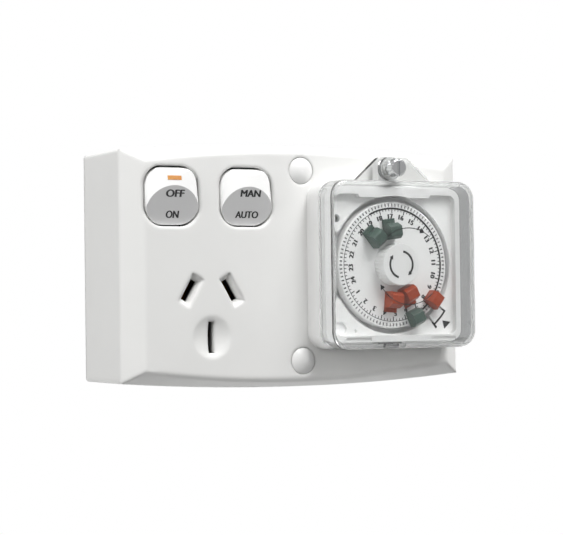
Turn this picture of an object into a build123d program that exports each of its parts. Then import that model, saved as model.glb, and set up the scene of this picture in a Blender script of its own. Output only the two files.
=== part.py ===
from build123d import *
import os
from math import acos, atan2, cos, degrees, pi, radians, sin, sqrt, tan

# A surface-mounted socket outlet with two rocker switches and a 24-hour time switch.
# Millimetres. Everything is drawn lying on its back: x across, y up the wall, z out of the wall.
# save() then stands each piece up, so that the wall is the plane y = 0 and the front looks to -y.

# Fits and clearances
RUNNING = 0.05            # radial, shaft in bore
SEAT = 0.02               # radial, fixed pin in its hole
GAP = 0.3                 # between pieces that only lie beside each other
PAST = 10.0               # a block or cut that is trimmed elsewhere runs on this far

# Housing
HOUSING_W = 119.2
END_H = 70.0              # height at the two ends
BOW_RISE = 2.5            # each long side bows out this far in the middle
MID_H = END_H + 2 * BOW_RISE
CREASE_Z = 27.0           # straight sides up to here, then the bevel
FRONT_Z = 31.4
END_BEVEL = 6.4           # the bevels, as wide as they look from the front
LONG_BEVEL = 3.6          # at the corners
MID_BEVEL = 1.9           # in the middle
FACE_W = HOUSING_W - 2 * END_BEVEL
FACE_END_H = END_H - 2 * LONG_BEVEL
FACE_MID_H = MID_H - 2 * MID_BEVEL
SIDE_WALL = 2.4
FRONT_WALL = 2.6
EDGE_R = 1.2              # upright corners, and the crease where the bevels start
FACE_R = 1.8              # where the bevels meet the flat front

# Places across the front, as shares of half the housing's width
ROCKER_SHARES = (-0.7433, -0.3238)
SOCKET_SHARE = -0.5252
TIMER_SHARE = 0.4681

# Back plate and the two screws that hold the housing on it
PLATE_T = 2.5
HOUSING_SCREW_IN = 5.5    # from the height of the ends to the screws
TUBE_R = 4.9
SHANK_R = 1.75
SHANK_HOLE_R = 1.95
HEAD_R = 3.3
HEAD_T = 2.2
HEAD_SEAT_Z = 22.0
PILLAR_TOP_Z = 8.0
CAP_R = 4.05
CAP_DOME = 1.3
CAP_PLUG_R = 3.4
CAP_PLUG_L = 3.0
WALL_HOLE_SPACING = 84.0
WALL_HOLE_R = 2.3
CABLE_HOLE_W = 26.0
CABLE_HOLE_H = 16.0
CABLE_HOLE_Y = 15.0
RIB_L = 60.0
RIB_T = 1.4
RIB_H = 1.6
RIB_IN = 3.0              # from the height of the ends to the middle of a rib

# Socket: pin positions from the socket's own centre
SOCKET_X = SOCKET_SHARE * HOUSING_W / 2
SOCKET_Y = -11.3
PIN_X = 6.86              # active and neutral, either side
PIN_Y = 3.96
EARTH_Y = -10.31
PIN_LEAN = 30.0
SLOT_L = 7.0
SLOT_W = 2.0
EARTH_SLOT_L = 9.5
LEAD_L = 10.0             # bevelled lead-in at the front face
LEAD_W = 4.2
LEAD_DEPTH = 2.0
DISH_R = 6.5
DISH_DEPTH = 1.3
SOCKET_BOSS_T = 5.2       # the front is this thick at the slots

# Contacts behind the slots
PIN_T = 1.6
LEAF_T = 0.6
LEAF_W = 6.4
LEAF_L = 10.5
LEAF_SPREAD = 3.6
CLIP_Z = 14.4
BLOCK_W = 38.0
BLOCK_H = 31.0
BLOCK_BASE_Z = 8.0
TERMINAL = 5.6
TERMINAL_AWAY = 8.2
TERMINAL_BACK_Z = 6.4
TERMINAL_TOP_Z = 14.0
TERMINAL_SCREW_R = 1.5
TERMINAL_SCREW_L = 3.0
TERMINAL_HEAD_T = 1.2
WIRE_R = 1.4

# Rockers
ROCKER_SIZE = 17.3
ROCKER_CORNER_R = 6.0
ROCKER_GAP = 0.5
ROCKER_CLEAR = 0.15       # past the edge of the opening, with the rocker pressed
ROCKER_Y = 21.0
ROCKER_XS = tuple(share * HOUSING_W / 2 for share in ROCKER_SHARES)
PIVOT_Z = 27.2            # rocker pivot, behind the front face
ROCKER_SWING = 8.0
LOWER_SLOPE = 18.0        # the pressed lower face leans back by this
UPPER_SLOPE = 10.0
LOWER_EDGE = -1.0         # its bottom edge lies this far below the housing's face
RIDGE_Y = 3.0
CROWN_HALF_W = 8.8        # the upper face is crowned sideways, as half an ellipse
CROWN_H = 4.0
AXLE_R = 1.2
AXLE_L = 1.4
LENS_W = 4.5
LENS_H = 1.3
ROCKER_WALL = 2.2
ROCKER_SKIRT = 3.2        # the skirt goes this far behind the pivot
ROCKER_HOLLOW = 1.6       # and the hollow ends this far in front of it
LENS_T = 0.8
LENS_UP = 2.3             # from the ridge, up the upper face

# Switch bases
BASE_W = 21.6
BASE_H = 22.0
BASE_Z = 8.0
BASE_SCREW_X = 8.6
BASE_SCREW_Y = 9.0
POST_R = 1.9
POST_L = 6.0
SELF_TAP_R = 1.1
REAR_HEAD_R = 2.0         # head of every screw driven from behind
REAR_HEAD_T = 1.5
REAR_RECESS = 0.8
EAR_T = 1.6
EAR_H = 5.0
BASE_WALL = 2.0
BASE_RIM_H = 9.0
ARM_L = 14.0
ARM_W = 5.0
ARM_T = 0.8
ARM_Z = 13.5
ARM_SWING = 12.0
PLUNGER_R = 1.1
PLUNGER_WALL = 0.4
PLUNGER_BACK = 0.8        # its front end is this far behind the pivot
PLUNGER_BORE = 5.0
TUBE_WALL = 1.2           # tube in the rocker that guides the plunger
TUBE_L = 7.0
TUBE_ROOT = 2.0
TUBE_BORE_END = 0.5
ARM_PIN_R = 0.6
BUTTON_DISC_R = 1.6
BUTTON_DISC_T = 0.6
BUTTON_DISC_Y = 5.0
BASE_FLOOR_T = 1.4

# Time switch: frame, face and dial share this axis
TIMER_X = TIMER_SHARE * HOUSING_W / 2
FRAME_W = 52.2
FRAME_H = 52.0
FRAME_CORNER_R = 5.5
FRAME_WALL = 1.9
FRAME_TOP_Z = 38.7
SLEEVE_W = 48.2
SLEEVE_WALL = 1.8
SLEEVE_CORNER_R = 2.4     # inside
SLEEVE_BACK_Z = 9.0
LEDGE_T = 1.6
SNAP_OUT = 1.1            # snap lugs on the sleeve, behind the front
SNAP_L = 4.0
SNAP_W = 8.0
FACE_Z = 38.7
FACE_T = 1.6
RIM_H = 2.2
RIM_BAND_Y = 22.0         # inner edge of the top and bottom bands of the rim
RIM_LEFT_X = 21.7
RIM_RIGHT_X = 22.4
RIM_STEP_W = 25.6
RIM_STEP_D = 1.0
RIM_STEP_SLANT = 0.9
RIM_CORNER_R = 2.2
LEDGE_NOTCH_W = 9.0       # shallow notches in the bottom of the rim
LEDGE_NOTCH_H = 1.1
LEDGE_NOTCH_D = 0.6
LEDGE_NOTCH_XS = (-13.6, 17.6)
DISH_SPOT_R = 2.1         # moulded dish, dimple and hole in the face's left corners
DISH_SPOT_D = 0.7
DISH_SPOT_AT = (-18.9, -19.6)
DIMPLE_R = 0.6
DIMPLE_AT = (-13.8, -20.4)
FACE_HOLE_R = 1.3
FACE_HOLE_AT = (-20.0, 14.5)
WELL_IN = 2.6             # from the collar's inside to the well
WELL_R = FRAME_W / 2 - FRAME_WALL - WELL_IN
WELL_WALL = 0.9
WELL_FLOOR_T = 1.2
WELL_SIDE_H = 20.3        # the well runs out to the left rim as a shallow channel
WELL_SIDE_DEPTH = 1.1
WELL_SIDE_R = 2.2

DIAL_R = 19.9
DIAL_FRONT_Z = 39.1
DIAL_EDGE_R = 0.5
DIAL_T = 1.6
DIAL_RIM_H = 3.0
DIAL_RIM_T = 1.0
SLOT_COUNT = 96
SLOT_MID_R = 18.8
SLOT_LEN = 1.0
SLOT_WIDE = 0.45
SLOT_DEEP = 0.8
DIAL_BOSS_R = 4.2
HUB_R = 6.6
HUB_H = 5.2
HUB_EDGE_R = 0.3
HUB_FLUTES = 32
FLUTE_R = 0.25
SPINDLE_R = 1.5

# Tappets: length along the radius, width, height above the dial
TAPPET_MID_R = 18.1
TAPPET_L = 5.0
TAPPET_W = 4.0
TAPPET_H = 4.2
RIM_GREEN_AT = -66.5
RIM_ORANGE_AT = -38.0
PARKED_L = 5.0
PARKED_W = 4.2
PARKED_H = 4.9
PARKED_FOOT_L = 1.4       # parked tappets show the foot that clips over the rim
TAPPET_FOOT_H = 0.9
TAPPET_EDGE_R = 0.4
PARKED_GREEN_R = (10.9, 10.6)
PARKED_GREEN_AT = (130.0, 97.0)
PARKED_ORANGE_R = (10.3, 11.0)
PARKED_ORANGE_AT = (-64.0, -95.5)

# Gear train
PRESSURE = 20.0
BACKLASH = 0.06
DIAL_TEETH = 72
PINION_TEETH = 12
WHEEL_TEETH = 36
ADDENDUM = 0.75           # short teeth, so that twelve of them clear the wheel
DEDENDUM = 1.05
DIAL_GEAR_Z = 28.0
DIAL_GEAR_T = 2.2
WHEEL_Z = 25.2
WHEEL_T = 1.6
PINION_T = 4.0
WHEEL_AT = 135.0          # direction of the train wheel from the dial axis
TRAIN_CLEAR = 0.5         # from the train wheel to the sleeve
SLEEVE_IN = SLEEVE_W - 2 * SLEEVE_WALL
TRAIN_REACH = (DIAL_TEETH + PINION_TEETH) / 2 * sin(radians(WHEEL_AT)) + WHEEL_TEETH / 2 + ADDENDUM
MODULE = (SLEEVE_IN / 2 - TRAIN_CLEAR) / TRAIN_REACH
MOTOR_AT = -45.0          # direction of the motor from the train wheel
ARBOR_R = 0.9
MOVEMENT_TOP_Z = 24.6
MOVEMENT_T = 2.0
MOTOR_CLEAR = 0.6         # from the motor to the sleeve
MOTOR_BACK_Z = 11.4
MOTOR_STEP_R = 5.0        # the back is stepped in by this
MOTOR_STEP_H = 1.2
MOTOR_EAR_R = 2.3
MOTOR_EAR_T = 1.0
MOTOR_SHAFT_R = 1.0
MOTOR_BORE = 5.0
MOVEMENT_SCREW_IN = 2.4   # from the sleeve's inside to the screws
MOVEMENT_SCREW_Y = -4.0   # the one at the side
MOVEMENT_SCREW_L = 6.0
MOVEMENT_POST_R = 1.7
FINE_SCREW_R = 0.9
FINE_HEAD_R = 1.8
FINE_HEAD_T = 1.0
REAR_COVER_T = 1.6
REAR_LIP_H = 1.4
REAR_LIP_T = 1.2
WIRE_SLOT_W = 8.0
WIRE_SLOT_H = 4.0
WIRE_SLOT_R = 1.5
WIRE_SLOT_IN_X = 7.0
WIRE_SLOT_IN_Y = 5.0

# Trip lever and microswitch, in the lower right corner of the face
LEVER_PIVOT_R = FRAME_W / 2 + 0.3
LEVER_PIVOT_AT = -35.0
LEVER_PIN_R = 0.8
LEVER_BOSS_R = 1.7
NOSE_R = 21.05            # just outside the tappets
NOSE_OUT_R = 24.0
NOSE_FROM = -50.0
NOSE_TO = -38.0
NOSE_PROUD = 0.1
SLIT = 0.7                # open line round the nose
SLIT_STUB = 1.1           # it runs on outwards at one corner
SWITCH_L = 12.8
SWITCH_H = 6.5
SWITCH_T = 4.6
SWITCH_TAGS = (1.6, 4.6)
TAG_W = 2.0
TAG_L = 2.6
TAG_T = 0.6
BUTTON_R = 0.8
BUTTON_OUT = 1.1
TAIL_IN_X = 5.1           # from the sleeve's inside to the lever's tail
TAIL_IN_Y = 2.9
TAIL_X = SLEEVE_IN / 2 - TAIL_IN_X
TAIL_Y = TAIL_IN_Y - SLEEVE_IN / 2
TAIL_R = 1.1
TAIL_DROP = 1.2
LEVER_T = 2.0

# Clear cover
COVER_FRONT_Z = 47.4
COVER_WALL = 1.5
COVER_EDGE_R = 1.2
HINGE_X = -2.1
HINGE_W = 10.4            # of the notch for the hinge in the collar's lower edge
HINGE_IN_Y = 0.9          # from the collar's lower edge to the hinge line
HINGE_IN_Z = 1.3          # from the collar's front to the hinge line
HINGE_Y = HINGE_IN_Y - FRAME_H / 2
HINGE_Z = FRAME_TOP_Z - HINGE_IN_Z
KNUCKLE_R = 0.8
KNUCKLE_W = 4.8
HINGE_PIN_R = 0.4
HINGE_PIN_IN = 1.0        # the pin goes this far into the collar at each end
LUG_BASE_W = 30.0
LUG_TOP_W = 10.4
LUG_T = 1.9
LUG_CORNER_R = 2.0
SCREW_Y = 30.3
LUG_TOP_Y = SCREW_Y + 3.4
BUSH_R = 3.65             # flange, under the lug
BUSH_FLANGE_T = 2.0
BUSH_NECK_R = 2.6
BUSH_BACK_Z = 33.0
SADDLE_WALL = 0.9
COVER_SCREW_R = 1.5
BUSH_BORE_R = 1.95
THUMB_R = 2.8
THUMB_L = 3.4
THUMB_EDGE_R = 0.5
THUMB_FLUTES = 12
THUMB_FLUTE_R = 0.4
THUMB_SLOT_W = 0.9


def save(node, *solids):
    """Stand the pieces up against the wall and write them as one node."""
    os.makedirs("parts", exist_ok=True)
    upright = [Rot(X=90) * solid for solid in solids]
    shape = upright[0] if len(upright) == 1 else Compound(children=upright)
    export_step(shape, f"parts/{node}.step")


def at(x, y, z=0.0):
    return Pos(x, y, z)


def block(w, h, z0, z1, x=0.0, y=0.0):
    return at(x, y, z0) * extrude(Rectangle(w, h), z1 - z0)


def rounded_block(w, h, r, z0, z1, x=0.0, y=0.0):
    return at(x, y, z0) * extrude(RectangleRounded(w, h, r), z1 - z0)


def rod(r, z0, z1, x=0.0, y=0.0):
    return at(x, y, z0) * extrude(Circle(r), z1 - z0)


def bow(width, end_h, mid_h):
    """Outline with straight ends and bowed long sides."""
    x = width / 2
    left = Line((-x, end_h / 2), (-x, -end_h / 2))
    bottom = ThreePointArc((-x, -end_h / 2), (0, -mid_h / 2), (x, -end_h / 2))
    right = Line((x, -end_h / 2), (x, end_h / 2))
    top = ThreePointArc((x, end_h / 2), (0, mid_h / 2), (-x, end_h / 2))
    return make_face([left, bottom, right, top])


def bevelled(inset, crease_z, front_z, z0=0.0):
    """The housing's outer form, drawn in by the inset all round."""
    low = bow(HOUSING_W - 2 * inset, END_H - 2 * inset, MID_H - 2 * inset)
    high = bow(FACE_W - 2 * inset, FACE_END_H - 2 * inset, FACE_MID_H - 2 * inset)
    straight = at(0, 0, z0) * extrude(low, crease_z - z0)
    return straight + loft([at(0, 0, crease_z) * low, at(0, 0, front_z) * high], ruled=True)


def pin_places():
    """Active, neutral and earth: place, lean and slot length."""
    return (
        (SOCKET_X - PIN_X, SOCKET_Y + PIN_Y, -PIN_LEAN, SLOT_L),
        (SOCKET_X + PIN_X, SOCKET_Y + PIN_Y, PIN_LEAN, SLOT_L),
        (SOCKET_X, SOCKET_Y + EARTH_Y, 0.0, EARTH_SLOT_L),
    )


def socket_cuts():
    cuts = []
    for x, y, lean, length in pin_places():
        slot = extrude(Rectangle(SLOT_W, length), SOCKET_BOSS_T + 2)
        cuts.append(at(x, y, FRONT_Z - SOCKET_BOSS_T - 1) * Rot(Z=lean) * slot)
    for x, y, lean, length in pin_places()[:2]:
        mouth = at(0, 0, LEAD_DEPTH) * Rectangle(LEAD_W, LEAD_L)
        lead = loft([Rectangle(SLOT_W, SLOT_L), mouth], ruled=True)
        cuts.append(at(x, y, FRONT_Z - LEAD_DEPTH) * Rot(Z=lean) * lead)
    x, y = pin_places()[2][:2]
    ball_r = (DISH_R**2 + DISH_DEPTH**2) / (2 * DISH_DEPTH)
    cuts.append(at(x, y, FRONT_Z - DISH_DEPTH + ball_r) * Sphere(ball_r))
    return cuts


def housing_screw_places():
    return [(0.0, side * (END_H / 2 - HOUSING_SCREW_IN)) for side in (1, -1)]


def block_screw_places():
    half = BLOCK_W / 2 - 3.4
    return [(SOCKET_X + side * half, SOCKET_Y + EARTH_Y - 3.0) for side in (1, -1)]


def base_screw_places():
    return [(x + side * BASE_SCREW_X, ROCKER_Y - BASE_SCREW_Y) for x in ROCKER_XS for side in (1, -1)]


def front_housing():
    shell = bevelled(0, CREASE_Z, FRONT_Z)
    sides = [e for e in shell.edges().filter_by(Axis.Z) if e.length > CREASE_Z / 2]
    crease = [e for e in shell.edges() if abs(e.center().Z - CREASE_Z) < 0.1]
    shell = fillet(sides + crease, EDGE_R)
    front = shell.faces().sort_by(Axis.Z)[-1]
    shell = fillet(front.edges(), FACE_R)
    hollow = bevelled(SIDE_WALL, CREASE_Z - 1.0, FRONT_Z - FRONT_WALL, -1.0)
    shell -= hollow
    inside_z = FRONT_Z - FRONT_WALL
    posts = [rod(TUBE_R, PILLAR_TOP_Z + GAP, inside_z + 1, x, y) for x, y in housing_screw_places()]
    boss_w = BLOCK_W - 6
    posts.append(rounded_block(boss_w, BLOCK_H - 5, 3, FRONT_Z - SOCKET_BOSS_T, inside_z + 1,
                               SOCKET_X, SOCKET_Y + EARTH_Y / 2 + 1.6))
    for x, y in block_screw_places() + base_screw_places():
        posts.append(rod(POST_R, inside_z - POST_L, inside_z + 1, x, y))
    for post in posts:
        shell += post & bevelled(SIDE_WALL / 2, CREASE_Z, FRONT_Z - 0.5)
    for x, y in housing_screw_places():
        shell -= rod(SHANK_HOLE_R, 0, FRONT_Z + 1, x, y)
        shell -= rod(HEAD_R + GAP, HEAD_SEAT_Z, FRONT_Z + 1, x, y)
        shell -= rod(CAP_PLUG_R + SEAT, HEAD_SEAT_Z + HEAD_T, FRONT_Z + 1, x, y)
        shell -= rod(CAP_R + 0.2, FRONT_Z - 0.5, FRONT_Z + 2, x, y)
    for x, y in block_screw_places() + base_screw_places():
        shell -= rod(SELF_TAP_R + SEAT, inside_z - POST_L - 1, inside_z - 0.4, x, y)
    opening = ROCKER_SIZE + 2 * ROCKER_GAP
    for x in ROCKER_XS:
        shell -= rounded_block(opening, opening, ROCKER_CORNER_R, inside_z - 1, FRONT_Z + 2, x, ROCKER_Y)
    for cut in socket_cuts():
        shell -= cut
    aperture = SLEEVE_W + 2 * GAP
    shell -= rounded_block(aperture, aperture, FRAME_CORNER_R - 1.5, inside_z - 1, FRONT_Z + 2, TIMER_X)
    return shell


def back_plate():
    inset = SIDE_WALL + GAP
    plate = extrude(bow(HOUSING_W - 2 * inset, END_H - 2 * inset, MID_H - 2 * inset), PLATE_T)
    for x, y in housing_screw_places():
        plate += rod(TUBE_R - 0.9, 0, PILLAR_TOP_Z, x, y)
        plate -= rod(SHANK_R + SEAT, PLATE_T, PILLAR_TOP_Z + 1, x, y)
    for side in (1, -1):
        plate -= rod(WALL_HOLE_R, -1, PLATE_T + 1, side * WALL_HOLE_SPACING / 2)
    plate -= rounded_block(CABLE_HOLE_W, CABLE_HOLE_H, 3, -1, PLATE_T + 1, SOCKET_X, CABLE_HOLE_Y)
    for side in (1, -1):
        rib = block(RIB_L, RIB_T, PLATE_T - 0.1, PLATE_T + RIB_H, SOCKET_X / 2, side * (END_H / 2 - RIB_IN))
        plate += rib & extrude(bow(HOUSING_W - 3 * inset, END_H - 3 * inset, MID_H - 3 * inset), 10)
    return plate


def screw(head_r, head_t, shank_r, length, cross=1.0):
    """Pan-head screw, head uppermost at z 0 to head_t, shank below, cross recess on top."""
    head = rod(head_r, 0, head_t)
    head = fillet(head.edges().sort_by(Axis.Z)[-1], head_t * 0.4)
    body = head + rod(shank_r, -length, 0.05)
    for turn in (0, 90):
        body -= Rot(Z=turn) * block(head_r * 1.1, head_r * 0.24, head_t - cross, head_t + 1)
    return body


def housing_screws():
    one = screw(HEAD_R, HEAD_T, SHANK_R, HEAD_SEAT_Z - PLATE_T - 0.5)
    return [at(x, y, HEAD_SEAT_Z) * one for x, y in housing_screw_places()]


def screw_cap():
    """Push-in cover: a low dome on a split plug."""
    ball_r = (CAP_R**2 + CAP_DOME**2) / (2 * CAP_DOME)
    dome = at(0, 0, CAP_DOME - ball_r) * Sphere(ball_r)
    cap = dome & rod(CAP_R, -0.5, CAP_DOME + 1)
    cap += rod(CAP_PLUG_R, -CAP_PLUG_L, 0)
    cap -= rod(CAP_PLUG_R - 0.9, -CAP_PLUG_L - 1, -0.6)
    return cap - block(2 * CAP_R, 0.7, -CAP_PLUG_L - 1, -1.0)


def about(y, z, angle):
    """Turn about a line along x through y, z."""
    return at(0, y, z) * Rot(X=angle) * at(0, -y, -z)


def crosswise(r, length, y, z, x=0.0):
    """Round bar along x, centred at x."""
    return at(x - length / 2, y, z) * Rot(Y=90) * extrude(Circle(r), length)


def ridge_rise():
    """Height of the rocker's ridge above the housing's face."""
    return LOWER_EDGE + (RIDGE_Y + ROCKER_SIZE / 2) * tan(radians(LOWER_SLOPE))


def rocker_crown(proud=0.0):
    """Solid below the upper face, which is crowned from side to side."""
    long = 2 * ROCKER_SIZE
    crown = at(0, long / 2) * Rot(X=90) * extrude(Ellipse(CROWN_HALF_W + proud, CROWN_H + proud), long)
    crown += block(2 * (CROWN_HALF_W + proud), long, -long, 0)
    return at(0, RIDGE_Y, FRONT_Z + ridge_rise()) * Rot(X=-UPPER_SLOPE) * at(0, 0, -CROWN_H) * crown


def lens_slab(clear=0.0):
    place = at(0, RIDGE_Y, FRONT_Z + ridge_rise()) * Rot(X=-UPPER_SLOPE) * at(0, LENS_UP)
    return place * block(LENS_W + 2 * clear, LENS_H + 2 * clear, -LENS_T - clear, 1.0)


def swing_radius():
    """Reach of the rocker's edge from its pivot, with room left when the other end is pressed."""
    half = ROCKER_SIZE / 2
    tilt = radians(ROCKER_SWING)
    shoulder = (half + ROCKER_GAP - ROCKER_CLEAR - half * cos(tilt)) / sin(tilt)
    return sqrt(half**2 + shoulder**2)


def rocker_hollow():
    return ROCKER_SIZE - 2 * ROCKER_WALL


def rocker(with_lens):
    """Rocker about the middle of its opening: flat lower face, crowned upper face, hollow behind."""
    skirt_z = PIVOT_Z - ROCKER_SKIRT
    body = rounded_block(ROCKER_SIZE, ROCKER_SIZE, ROCKER_CORNER_R, skirt_z, FRONT_Z + PAST)
    wide = 4 * ROCKER_SIZE
    above = at(0, RIDGE_Y, FRONT_Z + ridge_rise()) * Rot(X=LOWER_SLOPE) * block(wide, wide, 0, wide)
    body = (body - above) & rocker_crown()
    body &= crosswise(swing_radius(), 2 * ROCKER_SIZE, 0, PIVOT_Z)
    hollow = rocker_hollow()
    body -= rounded_block(hollow, hollow, ROCKER_CORNER_R - ROCKER_WALL, skirt_z - 1, PIVOT_Z + ROCKER_HOLLOW)
    leaning = about(0, PIVOT_Z, ROCKER_SWING / 2)
    body -= crosswise(AXLE_R + RUNNING, hollow + 2 * (AXLE_L + GAP), 0, PIVOT_Z)
    body += leaning * rod(PLUNGER_R + TUBE_WALL, PIVOT_Z - TUBE_L, PIVOT_Z + TUBE_ROOT)
    body -= leaning * rod(PLUNGER_R + RUNNING, PIVOT_Z - TUBE_L - 1, PIVOT_Z - TUBE_BORE_END)
    if with_lens:
        body -= lens_slab(SEAT)
    return body


def indicator_lens():
    return lens_slab() & rocker_crown(0.1)


def plunger():
    """Spring plunger in the rocker, which pushes the contact arm over."""
    tip_z = arm_top_z() + GAP + PLUNGER_R
    pin = rod(PLUNGER_R, tip_z, PIVOT_Z - PLUNGER_BACK) + at(0, 0, tip_z) * Sphere(PLUNGER_R)
    pin -= rod(PLUNGER_R - PLUNGER_WALL, PIVOT_Z - PLUNGER_BORE, PIVOT_Z)
    return about(0, PIVOT_Z, ROCKER_SWING / 2) * pin


def base_floor_z():
    return BASE_Z + BASE_FLOOR_T


def switch_base():
    """Open-topped moulded box with two ears, whose stub axles carry the rocker."""
    foot_top = FRONT_Z - FRONT_WALL - POST_L - GAP
    base = block(BASE_W, BASE_H, BASE_Z, BASE_Z + BASE_RIM_H)
    base -= block(BASE_W - 2 * BASE_WALL, BASE_H - 2 * BASE_WALL, base_floor_z(), BASE_Z + BASE_RIM_H + 1)
    ear_out = rocker_hollow() / 2 - GAP
    for side in (1, -1):
        base += rod(POST_R + 0.2, BASE_Z, foot_top, side * BASE_SCREW_X, -BASE_SCREW_Y)
        base -= rod(SELF_TAP_R + RUNNING, BASE_Z - 1, foot_top + 1, side * BASE_SCREW_X, -BASE_SCREW_Y)
        ear_x = side * (ear_out - EAR_T / 2)
        base += block(EAR_T, EAR_H, base_floor_z() - 0.1, PIVOT_Z + AXLE_R - 0.2, ear_x)
        base += crosswise(AXLE_R, AXLE_L + 1, 0, PIVOT_Z, side * (ear_out + (AXLE_L - 1) / 2))
    return base


def arm_bracket():
    """Brass bracket on the floor of a switch base, with the arm's pivot pin."""
    floor_z = base_floor_z()
    bracket = block(ARM_W + 3.4, 4.4, floor_z, floor_z + 0.8)
    for side in (1, -1):
        bracket += block(0.8, 4.4, floor_z, ARM_Z + 1.0, side * (ARM_W / 2 + GAP + 0.4))
    return bracket + crosswise(ARM_PIN_R, ARM_W + 2 * GAP + 1.6, 0, ARM_Z)


def contact_arm():
    """Bronze strip above its pivot pin, a contact button under each end."""
    top_z = arm_top_z()
    arm = block(ARM_W, ARM_L, top_z - ARM_T, top_z)
    arm += crosswise(ARM_PIN_R + 0.7, ARM_W, 0, ARM_Z)
    for side in (1, -1):
        arm += rod(BUTTON_DISC_R, top_z - ARM_T - BUTTON_DISC_T, top_z, 0, side * BUTTON_DISC_Y)
    arm -= crosswise(ARM_PIN_R + RUNNING, ARM_W + 1, 0, ARM_Z)
    return about(0, ARM_Z, -ARM_SWING / 2) * arm


def arm_top_z():
    return ARM_Z + ARM_PIN_R + 0.4 + ARM_T


def fixed_contacts():
    """One rivet under each end of each arm, a hair below the closed button."""
    tilt = radians(ARM_SWING / 2)
    above_pin = arm_top_z() - ARM_T - BUTTON_DISC_T - ARM_Z
    top_z = ARM_Z + above_pin * cos(tilt) - (BUTTON_DISC_Y + BUTTON_DISC_R) * sin(tilt) - GAP / 3
    return [rod(BUTTON_DISC_R, base_floor_z(), top_z, x, ROCKER_Y + side * BUTTON_DISC_Y)
            for x in ROCKER_XS for side in (1, -1)]


def block_centre_y():
    return SOCKET_Y + EARTH_Y / 2 + 1.6


def terminal_places():
    """Active, neutral and earth terminal at the back of the contact block."""
    return (
        (SOCKET_X - PIN_X - TERMINAL_AWAY, SOCKET_Y + PIN_Y + 1.0),
        (SOCKET_X + PIN_X + TERMINAL_AWAY, SOCKET_Y + PIN_Y + 1.0),
        (SOCKET_X + TERMINAL_AWAY, SOCKET_Y + EARTH_Y + 1.0),
    )


def contact_block():
    """Moulded block behind the slots: a pocket for each contact and one for its terminal."""
    top_z = FRONT_Z - SOCKET_BOSS_T - GAP
    y = block_centre_y()
    body = rounded_block(BLOCK_W, BLOCK_H, 2.5, BLOCK_BASE_Z, top_z, SOCKET_X, y)
    for (px, py, lean, length), (tx, ty) in zip(pin_places(), terminal_places()):
        pocket = block(LEAF_SPREAD + LEAF_T + 1.2, length + 1.0, CLIP_Z - GAP, top_z + 1)
        body -= at(px, py) * Rot(Z=lean) * pocket
        side = TERMINAL + 2 * GAP
        body -= block(side, side, BLOCK_BASE_Z - 1, TERMINAL_TOP_Z + GAP, tx, ty)
        strip = abs(tx - px) + side
        body -= block(strip, 4.0, CLIP_Z - 1.0 - GAP, CLIP_Z + 1.0, (tx + px) / 2, ty)
    for x, y in block_screw_places():
        body -= rod(SELF_TAP_R + RUNNING, BLOCK_BASE_Z - 1, top_z + 1, x, y)
        body -= rod(POST_R + GAP, FRONT_Z - FRONT_WALL - POST_L - GAP, top_z + 1, x, y)
    return body


def contact(place, terminal):
    """Sprung clip for one pin, its strip and its terminal, in one brass piece."""
    px, py, lean, length = place
    tx, ty = terminal
    half = LEAF_SPREAD / 2
    pinch = PIN_T / 2 + LEAF_T / 2 - 0.1
    right = ((half, 0), (half, LEAF_L * 0.35), (pinch, LEAF_L * 0.75), (half * 0.9, LEAF_L))
    left = [(-x, z) for x, z in reversed(right)]
    profile = trace(Polyline(*left, *right), LEAF_T)
    clip = at(0, LEAF_W / 2) * Rot(X=90) * extrude(profile, LEAF_W)
    clip = at(px, py, CLIP_Z + LEAF_T / 2) * Rot(Z=lean) * clip
    strip = block(abs(tx - px), 3.4, CLIP_Z - 0.9, CLIP_Z + 0.1, (tx + px) / 2, ty)
    cube = block(TERMINAL, TERMINAL, TERMINAL_BACK_Z, TERMINAL_TOP_Z, tx, ty)
    cube -= rod(TERMINAL_SCREW_R + SEAT, TERMINAL_BACK_Z - 1, TERMINAL_TOP_Z - TERMINAL_HEAD_T, tx, ty)
    bore = at(tx, ty - TERMINAL, (TERMINAL_BACK_Z + TERMINAL_TOP_Z) / 2 + 0.6) * Rot(X=-90)
    cube -= bore * extrude(Circle(WIRE_R), 2 * TERMINAL)
    return clip + strip + cube


def rear_screw(length, shank_r=SELF_TAP_R, head_r=REAR_HEAD_R, head_t=REAR_HEAD_T):
    """Screw driven from behind, its head towards the wall and its seat at z 0."""
    return Rot(X=180) * screw(head_r, head_t, shank_r, length, REAR_RECESS)


def terminal_screws():
    one = rear_screw(TERMINAL_SCREW_L, TERMINAL_SCREW_R, REAR_HEAD_R, TERMINAL_HEAD_T)
    return [at(x, y, TERMINAL_BACK_Z) * one for x, y in terminal_places()]


def block_screws():
    one = rear_screw(FRONT_Z - FRONT_WALL - 1.0 - BLOCK_BASE_Z)
    return [at(x, y, BLOCK_BASE_Z) * one for x, y in block_screw_places()]


def base_screws():
    one = rear_screw(FRONT_Z - FRONT_WALL - 1.0 - BASE_Z)
    return [at(x, y, BASE_Z) * one for x, y in base_screw_places()]


def movement_screw_places():
    reach = SLEEVE_IN / 2 - MOVEMENT_SCREW_IN
    return ((-reach, -reach), (reach, reach), (reach, MOVEMENT_SCREW_Y))


def ledge_z():
    return FRONT_Z + LEDGE_T


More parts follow.
